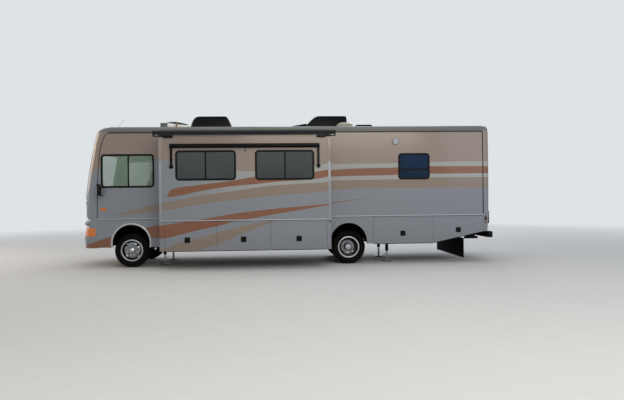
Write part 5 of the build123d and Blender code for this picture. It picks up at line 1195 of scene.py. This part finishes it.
# Cab: moulded dash with a hood, trim panels and wheel, and two leather captain's chairs on pedestals
dash = {
    "half": 1020, "round": 0.012,
    "profile": [(-960, 1177), (-905, 1177), (-880, 1380), (-780, 1425), (-660, 1436), (-628, 1480),
                (-622, 1560), (-650, 1622), (-720, 1652), (-840, 1640), (-960, 1604)],
    "blocks": [((-760, -820, 1600), (-600, -380, 1700), 0.035),  # the gauges' hood, then the middle tower
               ((-640, -230, 1250), (-560, 230, 1600), 0.03)],
    "panels": [((-566, -180, 1420), (-552, 180, 1570), 0.006), ((-634, 330, 1500), (-614, 940, 1560), 0.008)],
}
bm = bmesh.new()
face = bm.faces.new([bm.verts.new(at(x, -dash["half"], z)) for x, z in dash["profile"]])
made = bmesh.ops.extrude_face_region(bm, geom=[face])
bmesh.ops.translate(bm, vec=(0, 2 * dash["half"] / 1000, 0),
                    verts=[item for item in made["geom"] if isinstance(item, bmesh.types.BMVert)])
bmesh.ops.recalc_face_normals(bm, faces=bm.faces)
bevelled(bm, bm.edges[:], dash["round"], 3)
for low, high, radius in dash["blocks"]:
    roundedBlock(bm, at(*low), at(*high), radius, 4)
addPiece("moulded_dash", bm, [dashPlastic], "coach", 45, ("cab_interior",))
bm = bmesh.new()
for low, high, radius in dash["panels"]:
    roundedBlock(bm, at(*low), at(*high), radius, 2)
addPiece("dash_trim_panels", bm, [lightTrim], "coach")
steering = {
    "hub": (-500, -600, 1640), "foot": (-660, -600, 1540), "column": (-690, -600, 1521),
    "radius": 0.212, "grip": 0.016,
    "spokes": 3, "spokeLine": [(0.05, 0), (0.13, 0.004), (0.205, 0.01)],  # out from the hub, and up
}
hub = at(*steering["hub"])
axis = (hub - at(*steering["foot"])).normalized()
across = axis.orthogonal().normalized()
bm = bmesh.new()
tubeLoop(bm, [hub + axis * 0.01 + Matrix.Rotation(math.tau * step / 40, 3, axis) @ across * steering["radius"]
              for step in range(40)], steering["grip"], 10)
tubeAlong(bm, [at(*steering["column"]), hub - axis * 0.02], 0.034, 16)
turned(bm, [(0.0, 0.022), (0.05, 0.018), (0.07, 0.0), (0.06, -0.02), (0.0, -0.024)], hub, axis, 28)
for spoke in range(steering["spokes"]):
    arm = Matrix.Rotation(math.tau * (spoke + 0.25) / steering["spokes"], 3, axis) @ across
    tubeAlong(bm, [hub + arm * reach + axis * rise for reach, rise in steering["spokeLine"]], 0.013, 8)
addPiece("steering_wheel", bm, [sealRubber], "coach", 50)

seat = {  # a pad has low and high corners from the seat's middle, crown, pinch, sewn channels and cuts
    "y": 600, "armY": 268, "cushionLean": -3, "backLean": 13, "hollow": 0.018,
    "cushion": ((-235, -245, 1530), (225, 245, 1648), 0.014, 0.006, 4, 9),
    "back": ((205, -240, 1610), (325, 240, 2150), 0, 0.006, 0, 9),
    "headrest": ((215, -140, 2165), (305, 140, 2330), 0, 0.005, 0, 7),
    "armrest": ((-120, -28, 1790), (250, 28, 1842), 0.004, 0.002, 0, 5),
    "post": [(0.10, 0.02), (0.07, 0.05), (0.065, 0.26), (0.09, 0.30), (0.0, 0.30)],
}


def pillow(part, middleY):
    # A stuffed block: its faces swell, its sides pull in between the corners, and channels are sewn across it
    *corners, crown, pinch, channels, cuts = seat[part]
    low, high = (at(x, middleY + y, z) for x, y, z in corners)
    bm = bmesh.new()
    verts = bmesh.ops.create_cube(bm, size=2)["verts"]
    bmesh.ops.subdivide_edges(bm, edges=edgesOf(verts), cuts=cuts, use_grid_fill=True)
    centre, half = (low + high) / 2, (high - low) / 2
    for vert in bm.verts:
        u, v, w = vert.co
        rounding = 1 - 0.07 * ((u * v) ** 4 + (v * w) ** 4 + (w * u) ** 4)
        swell = crown * (1 - u ** 4) * (1 - v ** 4)
        if channels and abs(w) > 0.95:
            swell -= 0.007 * max(0, 1 - abs(math.sin(math.pi * (v + 1) / 2 * channels)) * 5)
        vert.co = centre + Vector((u * half.x, v * half.y, w * half.z)) * rounding
        vert.co.z += w * swell
        vert.co.x -= math.copysign(pinch * (1 - v * v) * (abs(u) > 0.95), u)
        vert.co.y -= math.copysign(pinch * (1 - u * u) * (abs(v) > 0.95), v)
    return bm


def lean(bm, pivot, degrees):
    bmesh.ops.rotate(bm, cent=pivot, matrix=Matrix.Rotation(math.radians(degrees), 3, "Y"), verts=bm.verts)


for side, sitter in ((-1, "driver"), (1, "passenger")):
    y = side * seat["y"]
    pads = {part: pillow(part, y) for part in ("cushion", "back", "headrest")}
    lean(pads["cushion"], at(0, y, 1560), seat["cushionLean"])
    for vert in pads["back"].verts:  # hollow at the front and full at the back
        spot = vert.co - at(265, y, 1880)
        dip = seat["hollow"] * (1 - (spot.y / 0.24) ** 2) * (1 - (spot.z / 0.27) ** 2)
        vert.co.x -= dip if spot.x < 0 else -0.4 * dip
    for part in ("back", "headrest"):
        lean(pads[part], at(265, y, 1600), seat["backLean"])
    pedestal = bmesh.new()
    for hand, way in (("left", -1), ("right", 1)):
        armY = y + way * seat["armY"]
        pads[f"armrest_{hand}"] = pillow("armrest", armY)
        tubeAlong(pedestal, [at(255, y + way * 246, 1560), at(262, y + way * 262, 1700), at(250, armY, 1800)],
                  0.016)
    for part, bm in pads.items():
        pad = addPiece(f"{sitter}_seat_{part}", bm, [leather], "coach", 180)
        soften = pad.modifiers.new("soften", "SUBSURF")
        soften.levels = soften.render_levels = 1
    roundedBlock(pedestal, at(-170, y - 170, 1176), at(210, y + 170, 1200), 0.01, 2)
    turned(pedestal, seat["post"], at(20, y, 1178), (0, 0, 1), 28)
    roundedBlock(pedestal, at(-190, y - 200, 1468), at(230, y + 200, 1536), 0.015)
    addPiece(f"{sitter}_seat_pedestal", pedestal, [dashPlastic], "coach", 45)
print("cab ready")

# Camera at the photograph's place; the turns are in radians
view = {"place": (3494.7, -15907.44, 1647.33), "yaw": -0.06033, "pitch": -0.0042, "roll": 0.01096,
        "lens": 34.615}
camera = bpy.data.objects.new("camera", bpy.data.cameras.new("camera"))
scene.collection.objects.link(camera)
turn = (Matrix.Rotation(view["yaw"], 3, "Z") @ Matrix.Rotation(view["pitch"], 3, "X")
        @ Matrix.Rotation(view["roll"], 3, "Y"))
upright = Matrix.Rotation(math.radians(90), 3, "X")
camera.matrix_world = Matrix.Translation(at(*view["place"])) @ (turn @ upright).to_4x4()
camera.data.sensor_width = 36.0
camera.data.lens = view["lens"]
camera.data.clip_end = 200.0
scene.camera = camera


def straightOrMirrored(tree):
    # 1 where the backdrop is seen straight, through glass or in a reflection, and 0 where it only gives light
    rays = addNode(tree, "LightPath", {}).outputs
    seen = addNode(tree, "Math", {"operation": "MAXIMUM", 0: rays["Is Camera Ray"],
                                  1: rays["Is Transmission Ray"]})
    return addNode(tree, "Math", {"operation": "MAXIMUM", 0: seen, 1: rays["Is Glossy Ray"]})


# Plain pale floor that fades into a pale world, lit by soft boxes
stage = {
    "floorDark": "bfc1c1", "floorLight": "c5c7c7", "backdrop": "dfe3e6", "sky": "e8ebf0", "skyPower": 0.5,
    "patch": 333,  # in millimetres
    "fadeFrom": 9, "fadeTo": 23, "size": 90,  # in metres
}
stageMaterial, tree, surface, place = startMaterial("paleStudioFloor", {"Roughness": 0.9, **dull})
grain = addNode(tree, "TexNoise", {"Scale": 1000 / stage["patch"], "Detail": 6, "Vector": place})
fill(surface, {"Base Color": addNode(tree, "Mix", {**blend, 0: grain, 6: stage["floorDark"],
                                                   7: stage["floorLight"]})})
distance = addNode(tree, "VectorMath", {"operation": "LENGTH", 0: place})
away = addNode(tree, "MapRange", {"Value": distance, "From Min": stage["fadeFrom"],
                                  "From Max": stage["fadeTo"]})
share = addNode(tree, "Math", {"operation": "MULTIPLY", 0: away, 1: straightOrMirrored(tree)})
glow = addNode(tree, "Emission", {"Color": stage["backdrop"]})
fill(tree.nodes["Material Output"], {"Surface": addNode(tree, "MixShader", {0: share, 1: surface, 2: glow})})
bm = bmesh.new()
bmesh.ops.create_grid(bm, x_segments=1, y_segments=1, size=stage["size"])
bmesh.ops.translate(bm, vec=(0, 0, -0.001), verts=bm.verts)
floorMesh = bpy.data.meshes.new("studioFloor")
bm.to_mesh(floorMesh)
bm.free()
floorMesh.materials.append(stageMaterial)
studioFloor = bpy.data.objects.new("studioFloor", floorMesh)
scene.collection.objects.link(studioFloor)

world = bpy.data.worlds.new("studioWorld")
scene.world = world
world.use_nodes = True
tree = world.node_tree
tree.nodes.clear()
lit = addNode(tree, "Background", {"Color": stage["sky"], "Strength": stage["skyPower"]})
shown = addNode(tree, "Background", {"Color": stage["backdrop"]})
sky = addNode(tree, "MixShader", {0: straightOrMirrored(tree), 1: lit, 2: shown})
addNode(tree, "OutputWorld", {"Surface": sky})

softBoxes = {  # place in metres, what it looks at, size, power, colour
    "keyBox": ((2.5, -16, 8.5), (1.2, 0, 1.6), 9, 1180, "fff4e6"),
    "fillBox": ((11, -13, 6), (1, 0, 1.6), 8, 330, "eef3ff"),
    "farBox": ((4, 15, 8), (0, 0, 1.6), 9, 900, "f4f6ff"),
    "noseBox": ((-14, 1, 5), (-4, 0, 1.6), 6, 520, "ffe9cf"),
    "topBox": ((0, 0, 13), (0, 0, 3), 11, 600, "ffffff"),
}
for name, (spot, target, size, power, tone) in softBoxes.items():
    lamp = bpy.data.lights.new(name, "AREA")
    lamp.size = size
    lamp.energy = power
    lamp.color = hexToLinear(tone)[:3]
    holder = bpy.data.objects.new(name, lamp)
    scene.collection.objects.link(holder)
    holder.location = spot
    holder.rotation_euler = (Vector(target) - Vector(spot)).to_track_quat("-Z", "Y").to_euler()
scene.view_settings.view_transform = "Standard"
print("stage ready")
